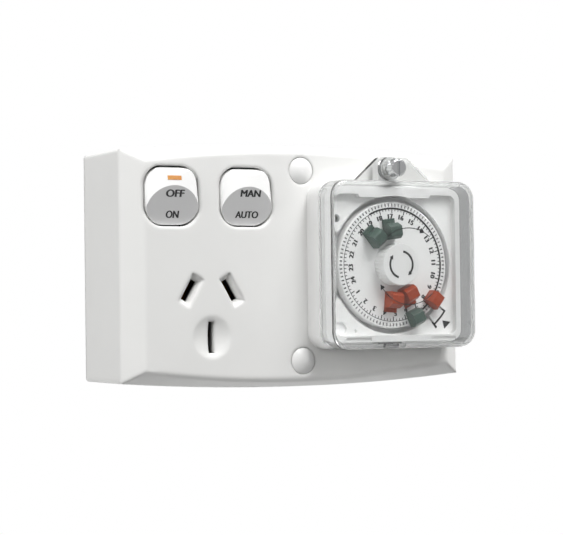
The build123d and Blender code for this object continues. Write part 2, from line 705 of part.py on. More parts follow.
def timer_frame():
    """White square collar on the housing, with a sleeve that goes back through it."""
    frame = rounded_block(FRAME_W, FRAME_H, FRAME_CORNER_R, FRONT_Z, FRAME_TOP_Z)
    frame = fillet(frame.edges().group_by(Axis.Z)[-1], 0.5)
    inner_w = FRAME_W - 2 * FRAME_WALL
    inner_h = FRAME_H - 2 * FRAME_WALL
    frame -= rounded_block(inner_w, inner_h, FRAME_CORNER_R - FRAME_WALL, ledge_z(), FRAME_TOP_Z + 1)
    frame += rounded_block(SLEEVE_W, SLEEVE_W, FRAME_CORNER_R - FRAME_WALL, SLEEVE_BACK_Z, FRONT_Z)
    hole = SLEEVE_IN
    frame -= rounded_block(hole, hole, SLEEVE_CORNER_R, SLEEVE_BACK_Z - 1, FRAME_TOP_Z + 1)
    wall = hole / 2 + 0.1
    for x, y in movement_screw_places():
        side = 1 if x > 0 else -1
        frame += rod(MOVEMENT_POST_R, MOVEMENT_TOP_Z, ledge_z(), x, y)
        middle = (x + side * wall) / 2
        frame += block(wall - abs(x), 2 * MOVEMENT_POST_R, MOVEMENT_TOP_Z, ledge_z(), middle, y)
        frame -= rod(FINE_SCREW_R + SEAT, MOVEMENT_TOP_Z - 1, ledge_z() - 2, x, y)
    lug_top = FRONT_Z - FRONT_WALL - GAP
    for side in (1, -1):
        lug = make_face(Polyline((0, 0), (side * SNAP_OUT, 0), (0, -SNAP_L), (0, 0)))
        lug = Rot(Z=90) * Rot(X=90) * extrude(lug, SNAP_W / 2, both=True)
        frame += at(0, side * (SLEEVE_W / 2 - 0.01), lug_top) * lug
    saddle_r = BUSH_NECK_R + SADDLE_WALL
    saddle_top = bush_flange_z() - RUNNING
    saddle = rod(saddle_r, BUSH_BACK_Z + GAP, saddle_top, 0, SCREW_Y)
    reach = SCREW_Y - FRAME_H / 2 + GAP
    saddle += block(2 * saddle_r, reach, BUSH_BACK_Z + GAP, saddle_top, 0, SCREW_Y - reach / 2)
    frame += saddle - rod(BUSH_NECK_R + SEAT, BUSH_BACK_Z - 1, FRAME_TOP_Z + 1, 0, SCREW_Y)
    notch_z = HINGE_Z - HINGE_IN_Y - GAP
    frame -= block(HINGE_W, FRAME_WALL + 1, notch_z, FRAME_TOP_Z + 1, HINGE_X, (FRAME_WALL - 1 - FRAME_H) / 2)
    knuckle = (HINGE_W - KNUCKLE_W) / 2 - GAP
    for side in (1, -1):
        middle = HINGE_X + side * (HINGE_W - knuckle + 0.2) / 2
        frame += crosswise(KNUCKLE_R, knuckle + 0.2, HINGE_Y, HINGE_Z, middle)
    pin_room = HINGE_W + 2 * (HINGE_PIN_IN + GAP)
    return frame - crosswise(HINGE_PIN_R + SEAT, pin_room, HINGE_Y, HINGE_Z, HINGE_X)


def ring_sector(r_in, r_out, a_from, a_to, z0, z1):
    """Part of a ring between two directions, seen from the front."""
    points = [(r * cos(radians(a)), r * sin(radians(a)))
              for r, a in ((r_in, a_from), (r_out, a_from), (r_out, (a_from + a_to) / 2),
                           (r_out, a_to), (r_in, a_to), (r_in, (a_from + a_to) / 2))]
    outline = [Line(points[0], points[1]), ThreePointArc(*points[1:4]), Line(points[3], points[4]),
               ThreePointArc(points[4], points[5], points[0])]
    return at(0, 0, z0) * extrude(make_face(outline), z1 - z0)


def nose_window(z0, z1):
    """Room in the face for the trip lever's nose over its whole swing."""
    turn = degrees(SLIT / NOSE_OUT_R)
    return ring_sector(NOSE_R - 1, NOSE_OUT_R + SLIT, NOSE_FROM - turn, NOSE_TO + turn, z0, z1)


def timer_face():
    """White tray in the collar: raised rim, flat face, and the round well of the dial."""
    w = FRAME_W - 2 * FRAME_WALL - 0.2
    h = FRAME_H - 2 * FRAME_WALL - 0.2
    r = FRAME_CORNER_R - FRAME_WALL
    tray = rounded_block(w, h, r, FACE_Z - FACE_T, FACE_Z + RIM_H)
    pool = rounded_block(RIM_LEFT_X + RIM_RIGHT_X, 2 * RIM_BAND_Y, RIM_CORNER_R, FACE_Z, FACE_Z + RIM_H + 1,
                         (RIM_RIGHT_X - RIM_LEFT_X) / 2)
    half = RIM_STEP_W / 2
    edge = RIM_BAND_Y - RIM_STEP_D
    step = Polyline((-half, edge), (half, edge), (half + RIM_STEP_SLANT, RIM_BAND_Y + 1),
                    (-half - RIM_STEP_SLANT, RIM_BAND_Y + 1), close=True)
    tray -= pool - at(0, 0, FACE_Z - 1) * extrude(make_face(step), RIM_H + 3)
    for x in LEDGE_NOTCH_XS:
        tray -= block(LEDGE_NOTCH_W, LEDGE_NOTCH_H, FACE_Z + RIM_H - LEDGE_NOTCH_D, FACE_Z + RIM_H + 1,
                      x, -RIM_BAND_Y - LEDGE_NOTCH_H)
    well_z = ledge_z() + GAP
    tray += rod(WELL_R + WELL_WALL, well_z, FACE_Z - FACE_T)
    tray -= rod(WELL_R, well_z + WELL_FLOOR_T, FACE_Z + PAST)
    tray -= rod(DIAL_BOSS_R + GAP, well_z - 1, FACE_Z)
    tray -= at(0, 0, FACE_Z - WELL_SIDE_DEPTH) * extrude(well_outline(), WELL_SIDE_DEPTH + 0.1)
    tray -= nose_window(well_z + WELL_FLOOR_T, FACE_Z + RIM_H + 1)
    turn = degrees(SLIT / NOSE_OUT_R)
    tray -= ring_sector(NOSE_OUT_R, NOSE_OUT_R + SLIT + SLIT_STUB, NOSE_FROM - turn, NOSE_FROM,
                        FACE_Z - FACE_T - 1, FACE_Z + 1)
    tray -= rod(DISH_SPOT_R, FACE_Z - DISH_SPOT_D, FACE_Z + 1, *DISH_SPOT_AT)
    tray -= rod(DIMPLE_R, FACE_Z - DISH_SPOT_D, FACE_Z + 1, *DIMPLE_AT)
    tray -= rod(FACE_HOLE_R, FACE_Z - FACE_T - 1, FACE_Z + 1, *FACE_HOLE_AT)
    x, y = lever_pivot()
    return tray - rod(LEVER_PIN_R + SEAT, FACE_Z - FACE_T - 1, FACE_Z - 0.5, x, y)


def well_outline():
    """The dial's round well, run out to the left rim between two rounded corners."""
    channel = Pos(-RIM_LEFT_X / 2, 0) * Rectangle(RIM_LEFT_X, WELL_SIDE_H)
    outline = Circle(WELL_R) + channel
    corners = [v for v in outline.vertices() if -RIM_LEFT_X + 0.1 < v.X < -WELL_R / 2]
    return fillet(corners, WELL_SIDE_R)


def dial():
    """Time dial: thin disc with a deep rim and a long boss, 96 slots round its face."""
    disc = rod(DIAL_R, DIAL_FRONT_Z - DIAL_RIM_H, DIAL_FRONT_Z)
    disc = fillet(disc.edges().sort_by(Axis.Z)[-1], DIAL_EDGE_R)
    disc -= rod(DIAL_R - DIAL_RIM_T, DIAL_FRONT_Z - DIAL_RIM_H - 1, DIAL_FRONT_Z - DIAL_T)
    disc += rod(DIAL_BOSS_R, DIAL_GEAR_Z, DIAL_FRONT_Z - DIAL_T + 0.1)
    slot = block(SLOT_LEN, SLOT_WIDE, DIAL_FRONT_Z - SLOT_DEEP, DIAL_FRONT_Z + 1, SLOT_MID_R)
    slots = [Rot(Z=360 / SLOT_COUNT * i) * slot for i in range(SLOT_COUNT)]
    disc = disc.cut(*slots)
    return disc - rod(SPINDLE_R + RUNNING, DIAL_GEAR_Z - 1, DIAL_FRONT_Z + 1)


def hub_knob():
    """Knob for setting the time, fluted all round."""
    knob = rod(HUB_R, DIAL_FRONT_Z, DIAL_FRONT_Z + HUB_H)
    knob = fillet(knob.edges().sort_by(Axis.Z)[-1], HUB_EDGE_R)
    flute = rod(FLUTE_R, DIAL_FRONT_Z + 0.5, DIAL_FRONT_Z + HUB_H + 1, HUB_R)
    knob = knob.cut(*[Rot(Z=360 / HUB_FLUTES * i) * flute for i in range(HUB_FLUTES)])
    return knob - rod(SPINDLE_R + RUNNING, DIAL_FRONT_Z - 1, spindle_top() + GAP)


def spindle_top():
    return DIAL_FRONT_Z + HUB_H - 2.0


def tappet(length, width, height, foot=0.0):
    """Switching rider: upright tab, its top sloped for the finger, with or without a foot outwards."""
    side = Polyline((-length / 2, 0), (length / 2, 0), (length / 2, height * 0.55),
                    (length * 0.28, height), (-length * 0.3, height), (-length / 2, height * 0.7),
                    (-length / 2, 0))
    body = at(0, width / 2) * Rot(X=90) * extrude(make_face(side), width)
    body = fillet(body.edges().filter_by(Axis.Y).sort_by(Axis.Z)[-2:], TAPPET_EDGE_R)
    if foot:
        body += block(foot + 1, width, 0, TAPPET_FOOT_H, (length + foot - 1) / 2)
    return at(0, 0, DIAL_FRONT_Z) * body


def on_dial(piece, r, angle):
    return Rot(Z=angle) * at(r, 0) * piece


def involute_gear(teeth, thickness, bore, turn=0.0):
    """Spur gear with short involute teeth, the first one pointing at the turn angle."""
    pitch_r = MODULE * teeth / 2
    base_r = pitch_r * cos(radians(PRESSURE))
    tip_r = pitch_r + ADDENDUM * MODULE
    root_r = pitch_r - DEDENDUM * MODULE

    def half_angle(r):
        roll = acos(min(1.0, base_r / max(r, base_r)))
        lean = radians(PRESSURE)
        at_pitch = pi / (2 * teeth) - BACKLASH / (2 * pitch_r)
        return at_pitch + (tan(lean) - lean) - (tan(roll) - roll)

    low_r = max(base_r, root_r)
    flank = [low_r + (tip_r - low_r) * step for step in (0, 0.4, 1)]
    if root_r < base_r:
        flank.insert(0, root_r)
    points = []
    for tooth in range(teeth):
        middle = radians(turn) + 2 * pi * tooth / teeth
        for r in flank:
            points.append((r, middle - half_angle(r)))
        for r in reversed(flank):
            points.append((r, middle + half_angle(r)))
    outline = Polyline(*[(r * cos(a), r * sin(a)) for r, a in points], close=True)
    return extrude(make_face(outline), thickness) - rod(bore, -1, thickness + 1)


def mesh_distance(teeth_a, teeth_b):
    return MODULE * (teeth_a + teeth_b) / 2


def wheel_place():
    """Train wheel's axis, from the dial axis."""
    away = mesh_distance(DIAL_TEETH, PINION_TEETH)
    return away * cos(radians(WHEEL_AT)), away * sin(radians(WHEEL_AT))


def motor_place():
    x, y = wheel_place()
    away = mesh_distance(WHEEL_TEETH, PINION_TEETH)
    return x + away * cos(radians(MOTOR_AT)), y + away * sin(radians(MOTOR_AT))


def dial_gear():
    gear = involute_gear(DIAL_TEETH, DIAL_GEAR_T, DIAL_BOSS_R + SEAT, WHEEL_AT)
    return at(0, 0, DIAL_GEAR_Z) * gear


def train_wheel():
    """Wheel and pinion in one piece, turning on a fixed arbor."""
    half_tooth = 180 / PINION_TEETH
    wheel = involute_gear(WHEEL_TEETH, WHEEL_T, ARBOR_R + RUNNING, MOTOR_AT)
    pinion = involute_gear(PINION_TEETH, PINION_T, ARBOR_R + RUNNING, WHEEL_AT + 180 + half_tooth)
    x, y = wheel_place()
    return at(x, y, WHEEL_Z) * (wheel + at(0, 0, WHEEL_T) * pinion)


def motor_pinion():
    half_tooth = 180 / PINION_TEETH
    x, y = motor_place()
    pinion = involute_gear(PINION_TEETH, WHEEL_T + 0.6, MOTOR_SHAFT_R + SEAT, MOTOR_AT + 180 + half_tooth)
    return at(x, y, WHEEL_Z - 0.3) * pinion


def motor_shaft():
    x, y = motor_place()
    return rod(MOTOR_SHAFT_R, motor_front() - MOTOR_BORE, WHEEL_Z + WHEEL_T + 0.6, x, y)


def motor_front():
    return MOVEMENT_TOP_Z - MOVEMENT_T - GAP


def motor_ears():
    x, y = motor_place()
    reach = motor_r() + MOTOR_EAR_R
    return [(x + reach * cos(radians(a)), y + reach * sin(radians(a))) for a in (MOTOR_AT, MOTOR_AT + 180)]


def motor_r():
    return SLEEVE_IN / 2 - motor_place()[1] - MOTOR_CLEAR


def motor():
    """Synchronous motor: drawn steel can with a stepped back and two fixing ears."""
    x, y = motor_place()
    top = motor_front()
    can = rod(motor_r(), MOTOR_BACK_Z, top)
    can = fillet(can.edges().group_by(Axis.Z)[0], MOTOR_STEP_H)
    can += rod(motor_r() - MOTOR_STEP_R, MOTOR_BACK_Z - MOTOR_STEP_H, MOTOR_BACK_Z + 1)
    can = at(x, y) * can
    ears = [Pos(ear_x, ear_y) * Circle(MOTOR_EAR_R) for ear_x, ear_y in motor_ears()]
    strap = make_hull([edge for ear in ears for edge in ear.edges()])
    can += at(0, 0, top - MOTOR_EAR_T) * extrude(strap, MOTOR_EAR_T)
    for ear_x, ear_y in motor_ears():
        can -= rod(FINE_SCREW_R + SEAT, top - 3, top + 1, ear_x, ear_y)
    return can - rod(MOTOR_SHAFT_R + RUNNING, top - MOTOR_BORE - GAP, top + 1, x, y)


def movement_plate():
    """Plate that carries the spindle, the arbor and the motor."""
    size = SLEEVE_IN - 2 * GAP
    bottom = MOVEMENT_TOP_Z - MOVEMENT_T
    plate = rounded_block(size, size, SLEEVE_CORNER_R - GAP, bottom, MOVEMENT_TOP_Z)
    plate -= rod(SPINDLE_R + SEAT, bottom - 1, MOVEMENT_TOP_Z + 1)
    plate -= rod(ARBOR_R + SEAT, bottom - 1, MOVEMENT_TOP_Z + 1, *wheel_place())
    plate -= rod(MOTOR_SHAFT_R + 0.6, bottom - 1, MOVEMENT_TOP_Z + 1, *motor_place())
    for x, y in list(movement_screw_places()) + motor_ears():
        plate -= rod(FINE_SCREW_R + SEAT, bottom - 1, MOVEMENT_TOP_Z + 1, x, y)
    return plate


def movement_screws():
    bottom = MOVEMENT_TOP_Z - MOVEMENT_T
    one = rear_screw(MOVEMENT_SCREW_L, FINE_SCREW_R, FINE_HEAD_R, FINE_HEAD_T)
    return [at(x, y, bottom) * one for x, y in movement_screw_places()]


def motor_screws():
    one = rear_screw(MOVEMENT_T + GAP + MOTOR_EAR_T, FINE_SCREW_R, FINE_HEAD_R, FINE_HEAD_T)
    return [at(x, y, motor_front() - MOTOR_EAR_T) * one for x, y in motor_ears()]


def spindle():
    return rod(SPINDLE_R, MOVEMENT_TOP_Z - MOVEMENT_T, spindle_top())


def arbor():
    return rod(ARBOR_R, MOVEMENT_TOP_Z - MOVEMENT_T, WHEEL_Z + WHEEL_T + PINION_T + 0.5, *wheel_place())


def rear_cover():
    """Lid on the back of the sleeve, with a locating lip and a wire slot."""
    size = SLEEVE_IN - 2 * GAP
    z = SLEEVE_BACK_Z - GAP / 3
    lid = rounded_block(SLEEVE_W, SLEEVE_W, FRAME_CORNER_R - FRAME_WALL, z - REAR_COVER_T, z)
    inner = size - 2 * REAR_LIP_T
    lip = rounded_block(size, size, SLEEVE_CORNER_R - GAP, z, z + REAR_LIP_H)
    lip -= rounded_block(inner, inner, SLEEVE_CORNER_R - REAR_LIP_T, z, z + REAR_LIP_H + 1)
    slot = rounded_block(WIRE_SLOT_W, WIRE_SLOT_H, WIRE_SLOT_R, z - REAR_COVER_T - 1, z + REAR_LIP_H + 1,
                         SLEEVE_IN / 2 - WIRE_SLOT_IN_X, WIRE_SLOT_IN_Y - SLEEVE_IN / 2)
    return lid + lip - slot


def lever_pivot():
    a = radians(LEVER_PIVOT_AT)
    return LEVER_PIVOT_R * cos(a), LEVER_PIVOT_R * sin(a)


def lever_plate_z():
    return FACE_Z - FACE_T - GAP


def trip_lever():
    """Lever under the face: nose beside the dial, tail behind the microswitch button."""
    top = lever_plate_z()
    bottom = top - LEVER_T
    px, py = lever_pivot()
    outline = Pos(px, py) * Circle(LEVER_BOSS_R) + Pos(TAIL_X, TAIL_Y) * Circle(TAIL_R)
    lever = at(0, 0, bottom) * extrude(make_hull(outline.edges()), LEVER_T)
    lip_r = LEVER_PIVOT_R - LEVER_PIN_R
    lever += ring_sector(NOSE_R, lip_r, NOSE_FROM, NOSE_TO, bottom, top)
    lever += ring_sector(NOSE_R, NOSE_OUT_R, NOSE_FROM, NOSE_TO, bottom, FACE_Z + NOSE_PROUD)
    lever += rod(TAIL_R, button_z() - TAIL_DROP, top, TAIL_X, TAIL_Y)
    return lever - rod(LEVER_PIN_R + RUNNING, bottom - 1, top + 1, px, py)


def lever_pin():
    """Headed pin that carries the lever under the face."""
    px, py = lever_pivot()
    bottom = lever_plate_z() - LEVER_T - GAP
    return rod(LEVER_PIN_R, bottom, FACE_Z - 0.6, px, py) + rod(LEVER_BOSS_R, bottom - 0.6, bottom, px, py)


def switch_right():
    return TAIL_X - TAIL_R - GAP - BUTTON_OUT


def button_z():
    return MOVEMENT_TOP_Z + GAP + SWITCH_H - 1.6


def microswitch():
    """Small snap switch on the movement plate, two soldering tags on its far end."""
    z = MOVEMENT_TOP_Z + GAP / 3
    x = switch_right() - SWITCH_L / 2
    body = block(SWITCH_L, SWITCH_T, z, z + SWITCH_H, x, TAIL_Y)
    body = fillet(body.edges().filter_by(Axis.Y), 0.5)
    for up in SWITCH_TAGS:
        tag_x = x - (SWITCH_L + TAG_L) / 2 + 0.1
        body += block(TAG_L, TAG_T, z + up - TAG_W / 2, z + up + TAG_W / 2, tag_x, TAIL_Y)
    return body - crosswise(BUTTON_R + RUNNING, 5.0, TAIL_Y, button_z(), switch_right())


def switch_button():
    length = BUTTON_OUT + 1.8
    pin = crosswise(BUTTON_R, length, TAIL_Y, button_z(), switch_right() + BUTTON_OUT - length / 2)
    return fillet(pin.edges().sort_by(Axis.X)[-1], 0.3)


def cover_back_z():
    return FRAME_TOP_Z + GAP


def clear_cover():
    """Clear cap over the face: square, open at the back, hinged below, with a screw lug on top."""
    back_z = cover_back_z()
    cover = rounded_block(FRAME_W, FRAME_H, FRAME_CORNER_R, back_z, COVER_FRONT_Z)
    cover = fillet(cover.edges().group_by(Axis.Z)[-1], COVER_EDGE_R)
    inner_r = FRAME_CORNER_R - COVER_WALL
    cover -= rounded_block(FRAME_W - 2 * COVER_WALL, FRAME_H - 2 * COVER_WALL, inner_r,
                           back_z - 1, COVER_FRONT_Z - COVER_WALL)
    foot = FRAME_H / 2 - 1
    lug = Polyline((-LUG_BASE_W / 2, foot), (LUG_BASE_W / 2, foot), (LUG_TOP_W / 2, LUG_TOP_Y),
                   (-LUG_TOP_W / 2, LUG_TOP_Y), close=True)
    lug = at(0, 0, back_z) * extrude(make_face(lug), LUG_T)
    lug = fillet(lug.edges().filter_by(Axis.Z).group_by(Axis.Y)[-1], LUG_CORNER_R)
    cover += lug
    cover -= rod(COVER_SCREW_R + RUNNING, back_z - 1, back_z + LUG_T + 1, 0, SCREW_Y)
    web = block(KNUCKLE_W, COVER_WALL, HINGE_Z, back_z + 0.1, HINGE_X, (COVER_WALL - FRAME_H) / 2)
    cover += crosswise(KNUCKLE_R, KNUCKLE_W, HINGE_Y, HINGE_Z, HINGE_X) + web
    return cover - crosswise(HINGE_PIN_R + RUNNING, KNUCKLE_W + 1, HINGE_Y, HINGE_Z, HINGE_X)


def cover_hinge_pin():
    return crosswise(HINGE_PIN_R, HINGE_W + 2 * HINGE_PIN_IN, HINGE_Y, HINGE_Z, HINGE_X)


def cover_screw():
    """Captive thumb screw in the lug, with a fluted head and a screwdriver slot."""
    seat = cover_back_z() + LUG_T
    head = rod(THUMB_R, seat, seat + THUMB_L)
    head = fillet(head.edges().group_by(Axis.Z)[-1], THUMB_EDGE_R)
    flute = rod(THUMB_FLUTE_R, seat - 1, seat + THUMB_L + 1, THUMB_R + THUMB_FLUTE_R / 3)
    head = head.cut(*[Rot(Z=360 / THUMB_FLUTES * i) * flute for i in range(THUMB_FLUTES)])
    head -= block(THUMB_SLOT_W, 2 * THUMB_R + 1, seat + THUMB_L - THUMB_SLOT_W, seat + THUMB_L + 1)
    return at(0, SCREW_Y) * (head + rod(COVER_SCREW_R, BUSH_BACK_Z + 1.0, seat + 0.1))


def bush_flange_z():
    return FRAME_TOP_Z - BUSH_FLANGE_T


def latch_bush():
    """Clear flanged bush in the collar's saddle, which takes the cover screw."""
    bush = rod(BUSH_NECK_R, BUSH_BACK_Z, FRAME_TOP_Z - 0.1, 0, SCREW_Y)
    bush += rod(BUSH_R, bush_flange_z(), FRAME_TOP_Z - 0.1, 0, SCREW_Y)
    return bush - rod(BUSH_BORE_R, BUSH_BACK_Z - 1, FRAME_TOP_Z + 1, 0, SCREW_Y)


def save_housing():
    save("front_housing", front_housing())
    save("back_plate", back_plate())
    save("housing_screws", *housing_screws())
    (_, top), (_, bottom) = housing_screw_places()
    save("screw_cap_top", at(0, top, FRONT_Z) * screw_cap())
    save("screw_cap_bottom", at(0, bottom, FRONT_Z) * screw_cap())


def save_socket():
    save("contact_block", contact_block())
    for name, place, terminal in zip(("active", "neutral", "earth"), pin_places(), terminal_places()):
        save(f"{name}_contact", contact(place, terminal))
    save("terminal_screws", *terminal_screws())
    save("block_screws", *block_screws())


def save_switches():
    for name, x in zip(("power", "mode"), ROCKER_XS):
        place = at(x, ROCKER_Y)
        save(f"rocker_{name}", place * rocker(name == "power"))
        save(f"plunger_{name}", place * plunger())
        save(f"switch_base_{name}", place * switch_base())
        save(f"arm_bracket_{name}", place * arm_bracket())
        save(f"contact_arm_{name}", place * contact_arm())
    save("indicator_lens", at(ROCKER_XS[0], ROCKER_Y) * indicator_lens())
    save("fixed_contacts", *fixed_contacts())
    save("base_screws", *base_screws())


def save_timer():
    axis = at(TIMER_X, 0)
    pieces = {
        "timer_frame": [timer_frame()], "timer_face": [timer_face()], "dial": [dial()],
        "hub_knob": [hub_knob()], "dial_spindle": [spindle()], "dial_gear": [dial_gear()],
        "train_wheel": [train_wheel()], "train_arbor": [arbor()], "motor_pinion": [motor_pinion()],
        "motor_shaft": [motor_shaft()], "motor": [motor()], "movement_plate": [movement_plate()],
        "movement_screws": movement_screws(), "motor_screws": motor_screws(), "rear_cover": [rear_cover()],
        "trip_lever": [trip_lever()], "lever_pin": [lever_pin()], "microswitch": [microswitch()],
        "switch_button": [switch_button()], "clear_cover": [clear_cover()],
        "cover_hinge_pin": [cover_hinge_pin()], "cover_screw": [cover_screw()], "latch_bush": [latch_bush()],
    }
    on_rim = tappet(TAPPET_L, TAPPET_W, TAPPET_H)
    parked = tappet(PARKED_L, PARKED_W, PARKED_H, PARKED_FOOT_L)
    pieces["tappet_green"] = [on_dial(on_rim, TAPPET_MID_R, RIM_GREEN_AT)]
    pieces["tappet_orange"] = [on_dial(on_rim, TAPPET_MID_R, RIM_ORANGE_AT)]
    pieces["parked_tappets_green"] = [on_dial(parked, r, a) for r, a in zip(PARKED_GREEN_R, PARKED_GREEN_AT)]
    orange_places = zip(PARKED_ORANGE_R, PARKED_ORANGE_AT)
    pieces["parked_tappets_orange"] = [on_dial(parked, r, a) for r, a in orange_places]
    for name, solids in pieces.items():
        save(name, *[axis * solid for solid in solids])


if __name__ == "__main__":
    save_housing()
    save_socket()
    save_switches()
    save_timer()
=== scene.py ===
from math import cos, pi, radians, sin, tan

import bpy
from mathutils import Matrix, Vector


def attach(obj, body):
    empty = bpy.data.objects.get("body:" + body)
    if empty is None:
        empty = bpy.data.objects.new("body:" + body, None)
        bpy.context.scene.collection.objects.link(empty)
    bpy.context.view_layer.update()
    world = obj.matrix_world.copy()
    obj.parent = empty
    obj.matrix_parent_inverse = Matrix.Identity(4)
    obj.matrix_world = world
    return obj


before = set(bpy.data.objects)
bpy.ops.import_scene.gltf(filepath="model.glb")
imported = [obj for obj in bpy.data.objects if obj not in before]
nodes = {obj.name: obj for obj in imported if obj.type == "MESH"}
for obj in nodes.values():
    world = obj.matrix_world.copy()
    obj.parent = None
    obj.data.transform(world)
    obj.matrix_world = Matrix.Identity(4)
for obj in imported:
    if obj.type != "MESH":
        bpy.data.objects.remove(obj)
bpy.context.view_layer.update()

# ---------------------------------------------------------------- front housing and back plate
# One deep urea moulding with satin walls, held to a flat back plate of the same plastic by two
# screws. The spark-eroded mould leaves a grain of about 0.2 mm, which dulls every highlight, and the
# edges look rounded. Deep in the pin slots the walls are painted dark, as painted shade, and a little
# less dark in the earth slot.


def linear(code):
    """An sRGB hex colour as linear red, green, blue and alpha."""
    parts = [int(code[i:i + 2], 16) / 255 for i in (1, 3, 5)]
    return [c / 12.92 if c <= 0.04045 else ((c + 0.055) / 1.055) ** 2.4 for c in parts] + [1.0]


def plug(tree, node, inputs):
    """Fill a node's inputs. A tuple of a node and its output is linked, and all else is a value."""
    for socket, value in inputs.items():
        if isinstance(value, tuple):
            source, output = value
            tree.links.new(source.outputs[output], node.inputs[socket])
        else:
            node.inputs[socket].default_value = value


def add(tree, kind, inputs=None, **settings):
    """A new node with its settings and its inputs."""
    made = tree.nodes.new(kind)
    for name, value in settings.items():
        setattr(made, name, value)
    plug(tree, made, inputs or {})
    return made


def material(name):
    """A new material with its tree, its shader and its coordinates."""
    made = bpy.data.materials.new(name)
    made.use_nodes = True
    tree = made.node_tree
    return made, tree, tree.nodes["Principled BSDF"], add(tree, "ShaderNodeTexCoord")


def finish_nodes(finish, *names):
    """Give CAD pieces a finish in place of the one they came with."""
    for name in names:
        nodes[name].data.materials.clear()
        nodes[name].data.materials.append(finish)


# a Mix node's two colour inputs and its colour output
first, second, mixed = 6, 7, 2

# the box round the three slots, where painted shade darkens their walls, and the earth slot's top
slots_x = -0.0313
slots_z = -0.0130
slots_half_w = 0.0125
slots_half_h = 0.0160
dark_from_y = -0.0292
dark_full_y = -0.0280
dark_end_y = -0.0200
earth_top_z = -0.0145
edge_round = 0.0018        # how far in from an edge its shading is rounded

urea, tree, shader, place = material("urea_satin_moulded")
cloud = add(tree, "ShaderNodeTexNoise", {"Vector": (place, "Object"), "Scale": 60.0, "Detail": 3.0})
white = add(tree, "ShaderNodeMix", {"Factor": (cloud, "Fac"), first: linear("#ECECEA"),
                                    second: linear("#F2F2F0")}, data_type="RGBA")
axes = add(tree, "ShaderNodeSeparateXYZ", {"Vector": (place, "Object")})
near_x = add(tree, "ShaderNodeMath", {0: (axes, "X"), 1: slots_x, 2: slots_half_w}, operation="COMPARE")
near_z = add(tree, "ShaderNodeMath", {0: (axes, "Z"), 1: slots_z, 2: slots_half_h}, operation="COMPARE")
in_box = add(tree, "ShaderNodeMath", {0: (near_x, 0), 1: (near_z, 0)}, operation="MULTIPLY")
deep = add(tree, "ShaderNodeMapRange", {"Value": (axes, "Y"), "From Min": dark_from_y,
                                        "From Max": dark_full_y})
sunk = add(tree, "ShaderNodeMath", {0: (in_box, 0), 1: (deep, "Result")}, operation="MULTIPLY")
before_end = add(tree, "ShaderNodeMath", {0: (axes, "Y"), 1: dark_end_y}, operation="LESS_THAN")
in_shaded_slot = add(tree, "ShaderNodeMath", {0: (sunk, 0), 1: (before_end, 0)}, operation="MULTIPLY")
earth = add(tree, "ShaderNodeMath", {0: (axes, "Z"), 1: earth_top_z}, operation="LESS_THAN")
# painted shade in the slots: near black, and a lighter grey in the earth slot
painted_slot_shade = add(tree, "ShaderNodeMix", {"Factor": (earth, 0), first: linear("#141414"),
                                        second: linear("#5A5A5A")}, data_type="RGBA")
tone = add(tree, "ShaderNodeMix", {"Factor": (in_shaded_slot, 0), first: (white, mixed),
                                   second: (painted_slot_shade, mixed)}, data_type="RGBA")
grain = add(tree, "ShaderNodeTexNoise", {"Vector": (place, "Object"), "Scale": 5200.0, "Detail": 2.0})
rough = add(tree, "ShaderNodeMapRange", {"Value": (grain, "Fac"), "To Min": 0.34, "To Max": 0.46})
soft_edges = add(tree, "ShaderNodeBevel", {"Radius": edge_round}, samples=8)
bump = add(tree, "ShaderNodeBump", {"Height": (grain, "Fac"), "Normal": (soft_edges, "Normal"),
                                    "Strength": 0.16, "Distance": 0.00002})
plug(tree, shader, {"Base Color": (tone, mixed), "Roughness": (rough, "Result"),
                    "Normal": (bump, "Normal"), "IOR": 1.54, "Subsurface Weight": 0.05,
                    "Subsurface Radius": [0.002, 0.002, 0.002]})
finish_nodes(urea, "front_housing", "back_plate")

# ---------------------------------------------------------------- screw covers
# Two domed polypropylene buttons pushed into the screw wells, a little smoother than the housing
# and polished at the crown by fingers.
cap, tree, shader, place = material("polypropylene_domed")
grain = add(tree, "ShaderNodeTexNoise", {"Vector": (place, "Object"), "Scale": 3800.0})
tone = add(tree, "ShaderNodeMix", {"Factor": (grain, "Fac"), first: linear("#EDEDEB"),
                                   second: linear("#F3F3F2")}, data_type="RGBA")
bump = add(tree, "ShaderNodeBump", {"Height": (grain, "Fac"), "Strength": 0.1, "Distance": 0.00002})
plug(tree, shader, {"Base Color": (tone, mixed), "Normal": (bump, "Normal"), "Roughness": 0.32,
                    "IOR": 1.49})
finish_nodes(cap, "screw_cap_top", "screw_cap_bottom")

# ---------------------------------------------------------------- rockers
# Two glossy urea rockers. Each lower face, flat and leaning back, is painted a pale grey with an
# arched top edge, as painted shade for a face turned down from the light; the crowned upper face is
# left white.
rocker_z = 0.021
rocker_half_h = 0.00865
lower_face_lean = radians(18)
lower_face_foot = 0.0304        # how far the lower face's bottom edge stands out from the wall
grey_to = 0.00001          # the painted shade fades out between these depths below the flat face
white_from = 0.00004


def panel_out(up):
    """How far the flat face stands out from the wall, by the height above the rocker's middle."""
    return lower_face_foot + (up + rocker_half_h) * tan(lower_face_lean)


